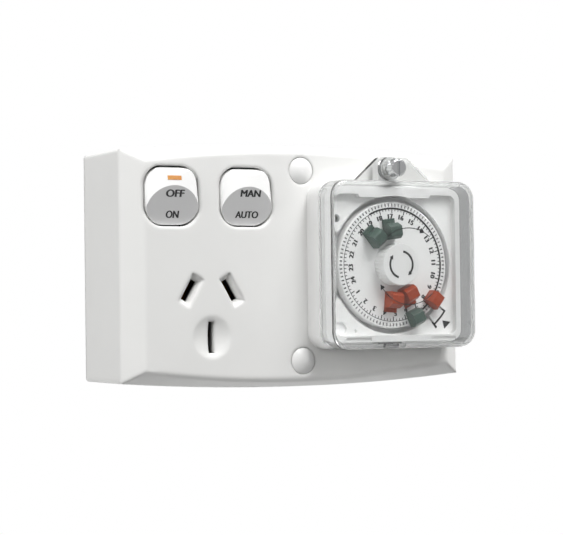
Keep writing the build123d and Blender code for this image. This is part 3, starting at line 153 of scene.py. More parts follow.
for name in ("power", "mode"):
    gloss, tree, shader, place = material("urea_gloss_" + name)
    axes = add(tree, "ShaderNodeSeparateXYZ", {"Vector": (place, "Object")})
    # depth under the flat lower face, in metres, along its own normal
    y_part = add(tree, "ShaderNodeMath", {0: (axes, "Y"), 1: cos(lower_face_lean)}, operation="MULTIPLY")
    z_part = add(tree, "ShaderNodeMath", {0: (axes, "Z"), 1: sin(lower_face_lean)}, operation="MULTIPLY")
    inward = add(tree, "ShaderNodeMath", {0: (y_part, 0), 1: (z_part, 0)}, operation="ADD")
    level = -panel_out(0) * cos(lower_face_lean) + rocker_z * sin(lower_face_lean)
    below = add(tree, "ShaderNodeMath", {0: (inward, 0), 1: level}, operation="SUBTRACT")
    # painted shade: pale grey over the flat lower face, which turns down from the light
    lower_face_shade = add(tree, "ShaderNodeMapRange", {"Value": (below, 0), "From Min": grey_to,
                                             "From Max": white_from, "To Min": 1.0, "To Max": 0.0})
    tone = add(tree, "ShaderNodeMix", {"Factor": (lower_face_shade, "Result"), first: linear("#F9F9F8"),
                                       second: linear("#DEDEDE")}, data_type="RGBA")
    grain = add(tree, "ShaderNodeTexNoise", {"Vector": (place, "Object"), "Scale": 2400.0})
    rough = add(tree, "ShaderNodeMapRange", {"Value": (grain, "Fac"), "To Min": 0.2, "To Max": 0.28})
    bump = add(tree, "ShaderNodeBump", {"Height": (grain, "Fac"), "Strength": 0.06,
                                        "Distance": 0.00002})
    plug(tree, shader, {"Base Color": (tone, mixed), "Roughness": (rough, "Result"),
                        "Normal": (bump, "Normal"), "IOR": 1.54})
    finish_nodes(gloss, "rocker_" + name)

# ---------------------------------------------------------------- rocker printing
# OFF and ON, MAN and AUTO, pad-printed in dull black ink on the lower faces, over their painted shade.
# Each word is laid down three times, a hair apart, so that its strokes are thick.


def lettering(name, words, thick, aside, up):
    """Words as a mesh, flat at the origin and one unit high, with two more impressions."""
    outwards = 0.0005      # keeps the impressions' faces out of one plane
    bpy.ops.object.text_add(location=(0, 0, 0))
    text = bpy.context.object
    text.data.body = words
    text.data.align_x = "CENTER"
    text.data.align_y = "CENTER"
    text.data.extrude = thick
    bpy.ops.object.convert(target="MESH")
    bpy.ops.object.mode_set(mode="EDIT")
    bpy.ops.mesh.select_all(action="SELECT")
    for step in ((aside, up, outwards), (aside, -up, outwards)):
        bpy.ops.mesh.duplicate_move(TRANSFORM_OT_translate={"value": step})
    bpy.ops.object.mode_set(mode="OBJECT")
    text = bpy.context.object
    text.name = name
    text.data.name = text.name
    return text


ink, tree, shader, place = material("ink_black_pad_printed")
grain = add(tree, "ShaderNodeTexNoise", {"Vector": (place, "Object"), "Scale": 6000.0})
tone = add(tree, "ShaderNodeMix", {"Factor": (grain, "Fac"), first: linear("#1B1B1C"),
                                   second: linear("#2C2C2D")}, data_type="RGBA")
plug(tree, shader, {"Base Color": (tone, mixed), "Roughness": 0.5, "IOR": 1.5})

ink_out = 0.00001          # from the panel to the middle of the ink
ink_depth = 0.003          # the depth of one unit of lettering
for word, body, rocker_x, across, up, wide, high in (
    ("OFF", "power_rocker", -0.0443, 0.0003, 0.00065, 0.0061, 0.0023),
    ("ON", "power_rocker", -0.0443, 0.00014, -0.00555, 0.0043, 0.0023),
    ("MAN", "mode_rocker", -0.0193, 0.0006, 0.00102, 0.0069, 0.0022),
    ("AUTO", "mode_rocker", -0.0193, 0.00019, -0.00537, 0.0079, 0.0022),
):
    text = lettering("print_" + word.lower(), word, thick=0.003, aside=0.05, up=0.025)
    low = [min(v.co[i] for v in text.data.vertices) for i in range(2)]
    top = [max(v.co[i] for v in text.data.vertices) for i in range(2)]
    centred = Matrix.Translation((-(low[0] + top[0]) / 2, -(low[1] + top[1]) / 2, 0))
    sized = Matrix.Diagonal((wide / (top[0] - low[0]), high / (top[1] - low[1]), ink_depth, 1))
    leaning = Matrix.Rotation(radians(90) + lower_face_lean, 4, "X")
    on_panel = Matrix.Translation((rocker_x + across, -(panel_out(up) + ink_out), rocker_z + up))
    text.matrix_world = on_panel @ leaning @ sized @ centred
    bpy.ops.object.transform_apply(location=True, rotation=True, scale=True)
    text.data.materials.append(ink)
    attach(text, body)

# ---------------------------------------------------------------- indicator lens
# Small bar of translucent orange acrylic, let into the power rocker and lit from inside when on.
# Light scatters in it, so that it has a soft even tone.
lens, tree, shader, place = material("acrylic_orange_translucent")
cloud = add(tree, "ShaderNodeTexNoise", {"Vector": (place, "Object"), "Scale": 900.0})
tone = add(tree, "ShaderNodeMix", {"Factor": (cloud, "Fac"), first: linear("#D9944F"),
                                   second: linear("#E2A768")}, data_type="RGBA")
plug(tree, shader, {"Base Color": (tone, mixed), "Roughness": 0.25, "IOR": 1.49,
                    "Subsurface Weight": 0.4, "Subsurface Radius": [0.0015, 0.0008, 0.0003]})
finish_nodes(lens, "indicator_lens")

# ---------------------------------------------------------------- time switch frame
# White acetal collar, moulded smooth. Its sleeve goes back through the housing, and two lugs on it
# snap behind the front. It is a shade greyer than the housing and a little shinier.
collar, tree, shader, place = material("acetal_frame")
grain = add(tree, "ShaderNodeTexNoise", {"Vector": (place, "Object"), "Scale": 4200.0})
cloud = add(tree, "ShaderNodeTexNoise", {"Vector": (place, "Object"), "Scale": 90.0})
tone = add(tree, "ShaderNodeMix", {"Factor": (cloud, "Fac"), first: linear("#DCDCDB"),
                                   second: linear("#E2E2E1")}, data_type="RGBA")
rough = add(tree, "ShaderNodeMapRange", {"Value": (grain, "Fac"), "To Min": 0.3, "To Max": 0.4})
bump = add(tree, "ShaderNodeBump", {"Height": (grain, "Fac"), "Strength": 0.08, "Distance": 0.00002})
plug(tree, shader, {"Base Color": (tone, mixed), "Roughness": (rough, "Result"),
                    "Normal": (bump, "Normal"), "IOR": 1.48})
finish_nodes(collar, "timer_frame")

# ---------------------------------------------------------------- time switch face
# White acetal tray that sits in the collar. Its raised rim is a shade greyer than the tray. The round
# well is painted whiter, as painted light against the shade in it, and the slit round the lever's nose
# is painted dark, as painted shade.
axis_x = 0.0278988         # the dial's axis
rim_from_y = -0.0390
rim_full_y = -0.0394
well_from_y = -0.0385
well_full_y = -0.0380
slit_r = 0.0249
slit_half_w = 0.0013
slit_at = radians(-52)
slit_half_turn = radians(20)
slit_from_y = -0.03865

tray, tree, shader, place = material("acetal_face")
axes = add(tree, "ShaderNodeSeparateXYZ", {"Vector": (place, "Object")})
cloud = add(tree, "ShaderNodeTexNoise", {"Vector": (place, "Object"), "Scale": 90.0})
plain = add(tree, "ShaderNodeMix", {"Factor": (cloud, "Fac"), first: linear("#F5F5F4"),
                                    second: linear("#FAFAF9")}, data_type="RGBA")
# painted light: the round well is made pure white to lift the shade in it
painted_well_light = add(tree, "ShaderNodeMapRange", {"Value": (axes, "Y"), "From Min": well_from_y,
                                           "From Max": well_full_y})
with_well_light = add(tree, "ShaderNodeMix", {"Factor": (painted_well_light, "Result"), first: (plain, mixed),
                                        second: linear("#FFFFFF")}, data_type="RGBA")
on_rim = add(tree, "ShaderNodeMapRange", {"Value": (axes, "Y"), "From Min": rim_from_y,
                                          "From Max": rim_full_y})
with_rim = add(tree, "ShaderNodeMix", {"Factor": (on_rim, "Result"), first: (with_well_light, mixed),
                                       second: linear("#E3E3E2")}, data_type="RGBA")
across = add(tree, "ShaderNodeMath", {0: (axes, "X"), 1: axis_x}, operation="SUBTRACT")
flat = add(tree, "ShaderNodeCombineXYZ", {"X": (across, 0), "Y": (axes, "Z")})
radius = add(tree, "ShaderNodeVectorMath", {0: (flat, 0)}, operation="LENGTH")
angle = add(tree, "ShaderNodeMath", {0: (axes, "Z"), 1: (across, 0)}, operation="ARCTAN2")
ring = add(tree, "ShaderNodeMath", {0: (radius, "Value"), 1: slit_r, 2: slit_half_w}, operation="COMPARE")
turned = add(tree, "ShaderNodeMath", {0: (angle, 0), 1: slit_at, 2: slit_half_turn}, operation="COMPARE")
arc_area = add(tree, "ShaderNodeMath", {0: (ring, 0), 1: (turned, 0)}, operation="MULTIPLY")
under = add(tree, "ShaderNodeMath", {0: (axes, "Y"), 1: slit_from_y}, operation="GREATER_THAN")
slit_shade_mask = add(tree, "ShaderNodeMath", {0: (arc_area, 0), 1: (under, 0)}, operation="MULTIPLY")
# painted shade: the slit round the lever's nose is made near black
tone = add(tree, "ShaderNodeMix", {"Factor": (slit_shade_mask, 0), first: (with_rim, mixed),
                                   second: linear("#2E2E2E")}, data_type="RGBA")
grain = add(tree, "ShaderNodeTexNoise", {"Vector": (place, "Object"), "Scale": 4200.0})
rough = add(tree, "ShaderNodeMapRange", {"Value": (grain, "Fac"), "To Min": 0.28, "To Max": 0.38})
bump = add(tree, "ShaderNodeBump", {"Height": (grain, "Fac"), "Strength": 0.08, "Distance": 0.00002})
plug(tree, shader, {"Base Color": (tone, mixed), "Roughness": (rough, "Result"),
                    "Normal": (bump, "Normal"), "IOR": 1.48})
finish_nodes(tray, "timer_face")

# ---------------------------------------------------------------- trip lever
# White acetal lever on a pin under the face; only its nose comes up through the slit. Its plate is
# dark below the outer part of the slit, because no light reaches it.
nose_from_y = -0.0387
nose_foot_y = -0.0383
nose_outer_r = 0.0236

lever, tree, shader, place = material("acetal_lever")
axes = add(tree, "ShaderNodeSeparateXYZ", {"Vector": (place, "Object")})
sunk = add(tree, "ShaderNodeMapRange", {"Value": (axes, "Y"), "From Min": nose_from_y,
                                        "From Max": nose_foot_y})
across = add(tree, "ShaderNodeMath", {0: (axes, "X"), 1: axis_x}, operation="SUBTRACT")
flat = add(tree, "ShaderNodeCombineXYZ", {"X": (across, 0), "Y": (axes, "Z")})
radius = add(tree, "ShaderNodeVectorMath", {0: (flat, 0)}, operation="LENGTH")
outer = add(tree, "ShaderNodeMath", {0: (radius, "Value"), 1: nose_outer_r}, operation="GREATER_THAN")
unlit = add(tree, "ShaderNodeMath", {0: (sunk, "Result"), 1: (outer, 0)}, operation="MULTIPLY")
grain = add(tree, "ShaderNodeTexNoise", {"Vector": (place, "Object"), "Scale": 4200.0})
plain = add(tree, "ShaderNodeMix", {"Factor": (grain, "Fac"), first: linear("#EBEBEA"),
                                    second: linear("#F1F1F0")}, data_type="RGBA")
tone = add(tree, "ShaderNodeMix", {"Factor": (unlit, 0), first: (plain, mixed),
                                   second: linear("#2E2E2E")}, data_type="RGBA")
bump = add(tree, "ShaderNodeBump", {"Height": (grain, "Fac"), "Strength": 0.08, "Distance": 0.00002})
plug(tree, shader, {"Base Color": (tone, mixed), "Normal": (bump, "Normal"), "Roughness": 0.33,
                    "IOR": 1.48})
finish_nodes(lever, "trip_lever")

# ---------------------------------------------------------------- time dial
# White acetal dial with a ring of ninety-six moulded slots. Inside them a fine line is printed all
# round, with ninety-six ticks inwards from it, longer at each hour.
tick_out_r = 0.0176
line_r = 0.01768
line_half_w = 0.0001
print_from_y = -0.03905    # only what stands out further than this is printed on
slot_mid_r = 0.0188
slot_half_l = 0.00055
slot_from_y = -0.0388
slot_to_y = -0.0380

dial, tree, shader, place = material("acetal_dial_printed")
axes = add(tree, "ShaderNodeSeparateXYZ", {"Vector": (place, "Object")})
across = add(tree, "ShaderNodeMath", {0: (axes, "X"), 1: axis_x}, operation="SUBTRACT")
flat = add(tree, "ShaderNodeCombineXYZ", {"X": (across, 0), "Y": (axes, "Z")})
radius = add(tree, "ShaderNodeVectorMath", {0: (flat, 0)}, operation="LENGTH")
angle = add(tree, "ShaderNodeMath", {0: (axes, "Z"), 1: (across, 0)}, operation="ARCTAN2")
ticks = []
for count, tick_in_r, tick_w in ((96, 0.0169, 0.00026), (24, 0.0162, 0.00034)):
    # how far round from the nearest tick, counted in ticks, and then times the radius
    turns = add(tree, "ShaderNodeMath", {0: (angle, 0), 1: count / (2 * pi)}, operation="MULTIPLY")
    wave = add(tree, "ShaderNodeMath", {0: (turns, 0), 1: 0.5}, operation="PINGPONG")
    off = add(tree, "ShaderNodeMath", {0: (wave, 0), 1: (radius, "Value")}, operation="MULTIPLY")
    widest = tick_w / 2 * count / (2 * pi)
    near = add(tree, "ShaderNodeMath", {0: (off, 0), 1: widest}, operation="LESS_THAN")
    inside = add(tree, "ShaderNodeMath", {0: (radius, "Value"), 1: tick_out_r}, operation="LESS_THAN")
    outside = add(tree, "ShaderNodeMath", {0: (radius, "Value"), 1: tick_in_r}, operation="GREATER_THAN")
    ring = add(tree, "ShaderNodeMath", {0: (inside, 0), 1: (outside, 0)}, operation="MULTIPLY")
    ticks.append(add(tree, "ShaderNodeMath", {0: (ring, 0), 1: (near, 0)}, operation="MULTIPLY"))
line = add(tree, "ShaderNodeMath", {0: (radius, "Value"), 1: line_r, 2: line_half_w}, operation="COMPARE")
all_ticks = add(tree, "ShaderNodeMath", {0: (ticks[0], 0), 1: (ticks[1], 0)}, operation="MAXIMUM")
marks = add(tree, "ShaderNodeMath", {0: (all_ticks, 0), 1: (line, 0)}, operation="MAXIMUM")
front = add(tree, "ShaderNodeMath", {0: (axes, "Y"), 1: print_from_y}, operation="LESS_THAN")
printed = add(tree, "ShaderNodeMath", {0: (marks, 0), 1: (front, 0)}, operation="MULTIPLY")
# dark in the slots, where the light doesn't reach
slots = add(tree, "ShaderNodeMath", {0: (radius, "Value"), 1: slot_mid_r, 2: slot_half_l},
            operation="COMPARE")
deep = add(tree, "ShaderNodeMath", {0: (axes, "Y"), 1: slot_from_y}, operation="GREATER_THAN")
sunk = add(tree, "ShaderNodeMath", {0: (slots, 0), 1: (deep, 0)}, operation="MULTIPLY")
not_back = add(tree, "ShaderNodeMath", {0: (axes, "Y"), 1: slot_to_y}, operation="LESS_THAN")
in_shaded_slot = add(tree, "ShaderNodeMath", {0: (sunk, 0), 1: (not_back, 0)}, operation="MULTIPLY")
grain = add(tree, "ShaderNodeTexNoise", {"Vector": (place, "Object"), "Scale": 3600.0})
plain = add(tree, "ShaderNodeMix", {"Factor": (grain, "Fac"), first: linear("#EFEFEE"),
                                    second: linear("#F4F4F3")}, data_type="RGBA")
with_slots = add(tree, "ShaderNodeMix", {"Factor": (in_shaded_slot, 0), first: (plain, mixed),
                                         second: linear("#8C8C8C")}, data_type="RGBA")
tone = add(tree, "ShaderNodeMix", {"Factor": (printed, 0), first: (with_slots, mixed),
                                   second: linear("#1F1F20")}, data_type="RGBA")
bump = add(tree, "ShaderNodeBump", {"Height": (grain, "Fac"), "Strength": 0.06, "Distance": 0.00002})
plug(tree, shader, {"Base Color": (tone, mixed), "Normal": (bump, "Normal"), "Roughness": 0.36,
                    "IOR": 1.48})
finish_nodes(dial, "dial")

# ---------------------------------------------------------------- dial numbers
# The hours 1 to 24, printed in the same ink on the dial. They count anticlockwise and stand with
# their feet to the centre.
number_r = 0.0151
number_y = -0.03911
number_high = 0.0022
hour_deg = 15
hour_24_deg = -161.4       # where the 24 stands, anticlockwise from the right
for hour in range(1, 25):
    turn = radians(hour_deg * hour + hour_24_deg)
    text = lettering(f"print_hour_{hour}", str(hour), thick=0.005, aside=0.075, up=0.04)
    sized = Matrix.Diagonal((number_high, number_high, number_high, 1))
    feet_in = Matrix.Rotation(turn - pi / 2, 4, "Z")
    upright = Matrix.Rotation(radians(90), 4, "X")
    on_dial = Matrix.Translation((axis_x + number_r * cos(turn), number_y, number_r * sin(turn)))
    text.matrix_world = on_dial @ upright @ feet_in @ sized
    bpy.ops.object.transform_apply(location=True, rotation=True, scale=True)
    text.data.materials.append(ink)
    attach(text, "time_dial")

# ---------------------------------------------------------------- dial arc
# A heavy line in the same ink over the fine one, clockwise from the upper left to the lower right.
# It is swept from a thin slice, as all the printed arcs are.


def printed_arc(name, centre, radius, y, width, thick, start, sweep, steps):
    """A printed line along part of a circle, clockwise from its start as seen from the front."""
    slice_length = 0.0000001
    merge_gap = 0.0000002
    nearly_one = 0.9
    bpy.ops.mesh.primitive_cube_add(size=1, location=(0, 0, 0))
    arc = bpy.context.object
    arc.name = name
    arc.data.name = arc.name
    turned = Matrix.Translation(centre) @ Matrix.Rotation(-start, 4, "Y")
    sized = Matrix.Diagonal((width, thick, slice_length, 1))
    arc.matrix_world = turned @ Matrix.Translation((radius, y, 0)) @ sized
    bpy.ops.object.transform_apply(location=True, rotation=True, scale=True)
    bpy.ops.object.mode_set(mode="EDIT")
    bpy.ops.mesh.select_mode(type="FACE")
    bpy.ops.mesh.select_all(action="DESELECT")
    bpy.ops.object.mode_set(mode="OBJECT")
    ahead = Vector((sin(start), 0, -cos(start)))
    for face in arc.data.polygons:
        face.select = face.normal.dot(ahead) > nearly_one
    bpy.ops.object.mode_set(mode="EDIT")
    bpy.ops.mesh.spin(steps=steps, angle=sweep, center=centre, axis=(0, -1, 0))
    bpy.ops.mesh.select_all(action="SELECT")
    bpy.ops.mesh.remove_doubles(threshold=merge_gap)
    bpy.ops.mesh.normals_make_consistent(inside=False)
    bpy.ops.object.mode_set(mode="OBJECT")
    return arc


heavy_line = printed_arc("print_dial_arc", centre=(axis_x, 0, 0), radius=0.01773, y=-0.03912, width=0.0006,
                         thick=0.00004, start=radians(118), sweep=radians(173), steps=120)
heavy_line.data.materials.append(ink)
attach(heavy_line, "time_dial")

# ---------------------------------------------------------------- hub knob
# Fluted grey-white acetal knob on the dial, turned by hand to set the time. Its grain of about
# 0.3 mm makes it duller than the dial.
hub, tree, shader, place = material("acetal_hub")
grain = add(tree, "ShaderNodeTexNoise", {"Vector": (place, "Object"), "Scale": 3000.0})
tone = add(tree, "ShaderNodeMix", {"Factor": (grain, "Fac"), first: linear("#E4E4E3"),
                                   second: linear("#EBEBEA")}, data_type="RGBA")
bump = add(tree, "ShaderNodeBump", {"Height": (grain, "Fac"), "Strength": 0.08, "Distance": 0.00002})
plug(tree, shader, {"Base Color": (tone, mixed), "Normal": (bump, "Normal"), "Roughness": 0.38,
                    "IOR": 1.48})
finish_nodes(hub, "hub_knob")

# ---------------------------------------------------------------- hub arrows
# Two curved arrows printed in the same ink on the hub's end, pointing the way it turns. Each is a
# swept line with a three-cornered head joined to its end.
fine_ink = 0.00002
arrow_r = 0.0041
arrow_y = -0.04431
head_past_deg = 3          # from the line's end to the middle of the head


def join_head(arc, centre, radius, y, at, size):
    """Join a printed triangle to an arc, pointing clockwise."""
    bpy.ops.mesh.primitive_cone_add(vertices=3, radius1=size, radius2=size, depth=fine_ink)
    head = bpy.context.object
    turned = Matrix.Translation(centre) @ Matrix.Rotation(-at, 4, "Y")
    facing = Matrix.Rotation(radians(90), 4, "X") @ Matrix.Rotation(radians(180), 4, "Z")
    head.matrix_world = turned @ Matrix.Translation((radius, y, 0)) @ facing
    bpy.ops.object.transform_apply(location=True, rotation=True, scale=True)
    bpy.ops.object.select_all(action="DESELECT")
    head.select_set(True)
    arc.select_set(True)
    bpy.context.view_layer.objects.active = arc
    bpy.ops.object.join()


for number, start_deg, sweep_deg in ((1, 80, 120), (2, 255, 105)):
    start = radians(start_deg)
    arrow = printed_arc(f"print_hub_arrow_{number}", centre=(axis_x, 0, 0), radius=arrow_r, y=arrow_y,
                        width=0.0007, thick=fine_ink, start=start, sweep=radians(sweep_deg), steps=24)
    join_head(arrow, centre=(axis_x, 0, 0), radius=arrow_r, y=arrow_y,
              at=start - radians(sweep_deg + head_past_deg), size=0.00085)
    arrow.data.materials.append(ink)
    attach(arrow, "time_dial")

# ---------------------------------------------------------------- tappets
# Coloured acetal riders, moulded with a fine grain: green to switch on and orange to switch off.
# One of each sits on the dial's rim, and the spare ones are parked on the dial inside its numbers.
for name, pieces, darker, lighter in (
    ("acetal_green", ("tappet_green", "parked_tappets_green"), "#3C4F47", "#4A5D55"),
    ("acetal_orange", ("tappet_orange", "parked_tappets_orange"), "#92330D", "#A03B12"),
):
    rider, tree, shader, place = material(name)
    grain = add(tree, "ShaderNodeTexNoise", {"Vector": (place, "Object"), "Scale": 1800.0})
    tone = add(tree, "ShaderNodeMix", {"Factor": (grain, "Fac"), first: linear(darker),
                                       second: linear(lighter)}, data_type="RGBA")
    bump = add(tree, "ShaderNodeBump", {"Height": (grain, "Fac"), "Strength": 0.1, "Distance": 0.00002})
    plug(tree, shader, {"Base Color": (tone, mixed), "Normal": (bump, "Normal"), "Roughness": 0.34,
                        "IOR": 1.48})
    finish_nodes(rider, *pieces)

# ---------------------------------------------------------------- pointer
# Black triangle printed in the same ink on the face, beside the trip lever; it marks the present
# time. Its corners are given from the dial's axis.
pointer_y = -0.03871
pointer_ink = 0.00001
pointer_corners = ((0.01849, -0.01765), (0.01920, -0.02037), (0.02161, -0.01818))
bpy.ops.mesh.primitive_circle_add(vertices=3, radius=0.001, fill_type="NGON", rotation=(radians(90), 0, 0))
pointer = bpy.context.object
pointer.name = "print_pointer"
pointer.data.name = pointer.name
bpy.ops.object.transform_apply(location=True, rotation=True, scale=True)
for corner, (across, up) in zip(pointer.data.vertices, pointer_corners):
    corner.co = (axis_x + across, pointer_y, up)
bpy.ops.object.mode_set(mode="EDIT")
bpy.ops.mesh.select_all(action="SELECT")
bpy.ops.mesh.extrude_region_move(TRANSFORM_OT_translate={"value": (0, -pointer_ink, 0)})
bpy.ops.mesh.select_all(action="SELECT")
bpy.ops.mesh.normals_make_consistent(inside=False)
bpy.ops.object.mode_set(mode="OBJECT")
pointer.data.materials.append(ink)
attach(pointer, "housing")

# ---------------------------------------------------------------- clear cover and its bush
# Injection-moulded polycarbonate cap with rounded front edges and a screw lug, with faint flow
# ripples and a few hairline scuffs. The bush that takes the screw sits in the collar's saddle and is
# the same plastic, less tinted.
for name, piece, tint in (("cover", "clear_cover", "#DDDEDE"), ("bush", "latch_bush", "#FAFBFB")):
    clear, tree, shader, place = material("polycarbonate_clear_" + name)
    ripple = add(tree, "ShaderNodeTexNoise", {"Vector": (place, "Object"), "Scale": 140.0, "Detail": 2.0})
    bump = add(tree, "ShaderNodeBump", {"Height": (ripple, "Fac"), "Strength": 0.025,
                                        "Distance": 0.0001})
    scuff = add(tree, "ShaderNodeTexNoise", {"Vector": (place, "Object"), "Scale": 700.0})
    rough = add(tree, "ShaderNodeMapRange", {"Value": (scuff, "Fac"), "To Min": 0.01, "To Max": 0.05})
    plug(tree, shader, {"Base Color": linear(tint), "Roughness": (rough, "Result"),
                        "Normal": (bump, "Normal"), "Transmission Weight": 1.0, "IOR": 1.49})
    # lamps shine straight through, so that the dial isn't in the cover's shadow
    ray = add(tree, "ShaderNodeLightPath")
    through = add(tree, "ShaderNodeBsdfTransparent", {"Color": linear("#EEEEEE")})
    surface = add(tree, "ShaderNodeMixShader", {"Fac": (ray, "Is Shadow Ray"), 1: (shader, 0),
                                                2: (through, 0)})
    plug(tree, tree.nodes["Material Output"], {"Surface": (surface, 0)})
    finish_nodes(clear, piece)

# ---------------------------------------------------------------- cover printing
# Two thin arcs with an arrowhead each, printed on the cover, showing which way the dial turns.
# Each is named by where it starts and ends and where its arrowhead is, in degrees anticlockwise.
curve_centre = (0.0292, 0, -0.0006)
curve_r = 0.0119
curve_y = -0.04733
for side, start_deg, end_deg, head_deg in (("top", 133, 50, 66), ("bottom", -45, -147, -147)):
    curve = printed_arc("print_cover_arc_" + side, centre=curve_centre, radius=curve_r, y=curve_y,
                        width=0.00026, thick=fine_ink, start=radians(start_deg),
                        sweep=radians(start_deg - end_deg), steps=60)
    join_head(curve, centre=curve_centre, radius=curve_r, y=curve_y, at=radians(head_deg), size=0.0011)
    curve.data.materials.append(ink)
    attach(curve, "cover")

# ---------------------------------------------------------------- cover screw
# Chromed brass thumb screw, captive in the cover's lug. The plating leaves a faint haze on the
# mirror and softens the edges.
edge_round = 0.0009

chrome, tree, shader, place = material("brass_chromed")
haze = add(tree, "ShaderNodeTexNoise", {"Vector": (place, "Object"), "Scale": 1500.0})
rough = add(tree, "ShaderNodeMapRange", {"Value": (haze, "Fac"), "To Min": 0.05, "To Max": 0.14})
soft_edges = add(tree, "ShaderNodeBevel", {"Radius": edge_round}, samples=8)
plug(tree, shader, {"Base Color": linear("#E4E5E6"), "Roughness": (rough, "Result"),
                    "Normal": (soft_edges, "Normal"), "Metallic": 1.0})
finish_nodes(chrome, "cover_screw")

# ---------------------------------------------------------------- fasteners, arbors, pins and motor
# Zinc-plated steel, turned, rolled or drawn. A fine brushed haze spreads its highlights.
# The cover's hinge pin and the motor's can are of it as well.
steel, tree, shader, place = material("steel_zinc_plated")
haze = add(tree, "ShaderNodeTexNoise", {"Vector": (place, "Object"), "Scale": 2600.0})
tone = add(tree, "ShaderNodeMix", {"Factor": (haze, "Fac"), first: linear("#A9ABAC"),
                                   second: linear("#C3C5C6")}, data_type="RGBA")
rough = add(tree, "ShaderNodeMapRange", {"Value": (haze, "Fac"), "To Min": 0.25, "To Max": 0.42})
plug(tree, shader, {"Base Color": (tone, mixed), "Roughness": (rough, "Result"), "Metallic": 1.0})
finish_nodes(steel, "housing_screws", "terminal_screws", "block_screws", "base_screws",
             "movement_screws", "motor_screws", "dial_spindle", "train_arbor", "lever_pin",
             "motor_shaft", "cover_hinge_pin", "motor")

# ---------------------------------------------------------------- contacts
# Stamped brass clips and terminals, and rolled bronze switch arms. Handling has dulled them a
# little, in patches of two or three millimetres.
brass_pieces = ("active_contact", "neutral_contact", "earth_contact", "arm_bracket_power",
                "arm_bracket_mode", "fixed_contacts")
bronze_pieces = ("contact_arm_power", "contact_arm_mode")
for name, pieces, darker, lighter in (
    ("brass_stamped", brass_pieces, "#B08A4A", "#C9A45E"),
    ("bronze_rolled", bronze_pieces, "#A5714A", "#BC8760"),
):
    alloy, tree, shader, place = material(name)
    tarnish = add(tree, "ShaderNodeTexNoise", {"Vector": (place, "Object"), "Scale": 400.0, "Detail": 4.0})
    tone = add(tree, "ShaderNodeMix", {"Factor": (tarnish, "Fac"), first: linear(darker),
                                       second: linear(lighter)}, data_type="RGBA")
    rough = add(tree, "ShaderNodeMapRange", {"Value": (tarnish, "Fac"), "To Min": 0.22, "To Max": 0.4})
    plug(tree, shader, {"Base Color": (tone, mixed), "Roughness": (rough, "Result"), "Metallic": 1.0})
    finish_nodes(alloy, *pieces)

# ---------------------------------------------------------------- black mouldings
# Glass-filled nylon and phenolic inside the housing, matt. The filler shows as a speckle of about
# half a millimetre.
black, tree, shader, place = material("nylon_black_filled")
speck = add(tree, "ShaderNodeTexNoise", {"Vector": (place, "Object"), "Scale": 2200.0})
tone = add(tree, "ShaderNodeMix", {"Factor": (speck, "Fac"), first: linear("#1A1A1B"),
                                   second: linear("#2B2B2C")}, data_type="RGBA")
bump = add(tree, "ShaderNodeBump", {"Height": (speck, "Fac"), "Strength": 0.2, "Distance": 0.00003})
plug(tree, shader, {"Base Color": (tone, mixed), "Normal": (bump, "Normal"), "Roughness": 0.55})
finish_nodes(black, "contact_block", "switch_base_power", "switch_base_mode", "microswitch",
             "movement_plate", "rear_cover")

# ---------------------------------------------------------------- gears and plungers
# Moulded in natural acetal and nylon, without a colour added. Light goes a little way in, so that
# they are creamy white and slightly waxy.
natural, tree, shader, place = material("acetal_natural")
wax = add(tree, "ShaderNodeTexNoise", {"Vector": (place, "Object"), "Scale": 700.0})
tone = add(tree, "ShaderNodeMix", {"Factor": (wax, "Fac"), first: linear("#DAD6C8"),
                                   second: linear("#E6E3D8")}, data_type="RGBA")
plug(tree, shader, {"Base Color": (tone, mixed), "Roughness": 0.4, "Subsurface Weight": 0.15,
                    "Subsurface Radius": [0.001, 0.001, 0.0008]})
finish_nodes(natural, "dial_gear", "train_wheel", "motor_pinion", "plunger_power", "plunger_mode",
             "switch_button")

# ---------------------------------------------------------------- floor
# Pale paper floor well below the object. To the camera it is plain white, and it throws no light up
# at the object.
bpy.ops.mesh.primitive_plane_add(size=6, location=(0, 0.6, -0.42))
floor = bpy.context.object
floor.name = "floor"
paper, tree, shader, place = material("paper_white")
fibre = add(tree, "ShaderNodeTexNoise", {"Vector": (place, "Object"), "Scale": 40.0})
tone = add(tree, "ShaderNodeMix", {"Factor": (fibre, "Fac"), first: linear("#FAFAFA"),
                                   second: linear("#FCFCFC")}, data_type="RGBA")
plug(tree, shader, {"Base Color": (tone, mixed), "Roughness": 0.9})
seen = add(tree, "ShaderNodeEmission")
ray = add(tree, "ShaderNodeLightPath")
surface = add(tree, "ShaderNodeMixShader", {"Fac": (ray, "Is Camera Ray"), 1: (shader, 0), 2: (seen, 0)})
plug(tree, tree.nodes["Material Output"], {"Surface": (surface, 0)})
floor.data.materials.append(paper)
floor.visible_diffuse = False

# ---------------------------------------------------------------- surround
# White all round. The light it gives is dim, and grows from below to above. The camera sees it plain
# white, and it is in between where it is seen through the cover or mirrored in the screw.
glow_below = 0.04
glow_above = 0.38
mirrored_share = 0.24
through_share = 0.50

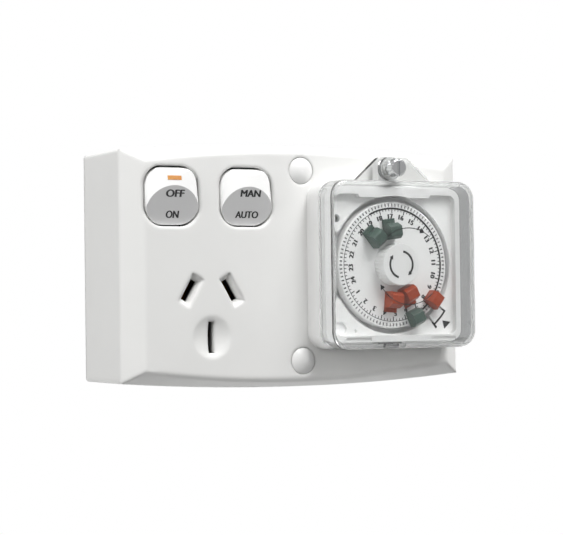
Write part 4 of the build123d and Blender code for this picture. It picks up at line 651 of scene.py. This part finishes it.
world = bpy.data.worlds.new("surround")
bpy.context.scene.world = world
world.use_nodes = True
tree = world.node_tree
glow = tree.nodes["Background"]
place = add(tree, "ShaderNodeTexCoord")
axes = add(tree, "ShaderNodeSeparateXYZ", {"Vector": (place, "Generated")})
level = add(tree, "ShaderNodeMapRange", {"Value": (axes, "Z"), "From Min": -1.0, "To Min": glow_below,
                                         "To Max": glow_above})
plug(tree, glow, {"Color": linear("#FFFFFF"), "Strength": (level, "Result")})
seen = add(tree, "ShaderNodeBackground", {"Color": linear("#FFFFFF"), "Strength": 1.0})
ray = add(tree, "ShaderNodeLightPath")
mirrored = add(tree, "ShaderNodeMath", {0: (ray, "Is Glossy Ray"), 1: mirrored_share}, operation="MULTIPLY")
through = add(tree, "ShaderNodeMath", {0: (ray, "Is Transmission Ray"), 1: through_share},
              operation="MULTIPLY")
part = add(tree, "ShaderNodeMath", {0: (mirrored, 0), 1: (through, 0)}, operation="MAXIMUM")
share = add(tree, "ShaderNodeMath", {0: (part, 0), 1: (ray, "Is Camera Ray")}, operation="MAXIMUM")
surface = add(tree, "ShaderNodeMixShader", {"Fac": (share, 0), 1: (glow, 0), 2: (seen, 0)})
plug(tree, tree.nodes["World Output"], {"Surface": (surface, 0)})

# ---------------------------------------------------------------- lights
# One soft light high above the front, and weaker ones at the left, below, at the right and behind.
# Only the first is mirrored in what it lights.
aim = Vector((0, -0.03, 0))
for name, spot, size, power in (
    ("key", (0.19, -0.55, 0.78), 0.5, 9.5),
    ("fill", (-0.9, -0.2, 0.27), 0.7, 6.0),
    ("under", (0.0, 0.06, -0.4), 0.2, 0.6),
    ("right", (0.9, -0.06, 0.2), 0.4, 2.0),
    ("rear", (0.1, 0.9, 0.4), 0.5, 4.0),
):
    bpy.ops.object.light_add(type="AREA", location=spot)
    lamp = bpy.context.object
    lamp.name = name
    lamp.data.size = size
    lamp.data.energy = power
    lamp.visible_glossy = name == "key"
    lamp.rotation_euler = (aim - Vector(spot)).to_track_quat("-Z", "Y").to_euler()

# ---------------------------------------------------------------- camera
# About 0.6 m away at the front left, nearly level with the object's middle, with a long lens. It
# looks along -Z of its own, so that a pitch of 90 degrees is level.
heading = Matrix.Rotation(radians(-28.376), 4, "Z")
pitch = Matrix.Rotation(radians(91.203), 4, "X")
roll = Matrix.Rotation(radians(-0.765), 4, "Z")
bpy.ops.object.camera_add(location=(-0.274758, -0.526615, -0.012360))
camera = bpy.context.object
camera.matrix_world = Matrix.Translation(camera.location) @ heading @ pitch @ roll
camera.data.sensor_width = 36.0
camera.data.lens = 116.68
camera.data.clip_start = 0.05
bpy.context.scene.camera = camera
bpy.context.scene.view_settings.view_transform = "Standard"
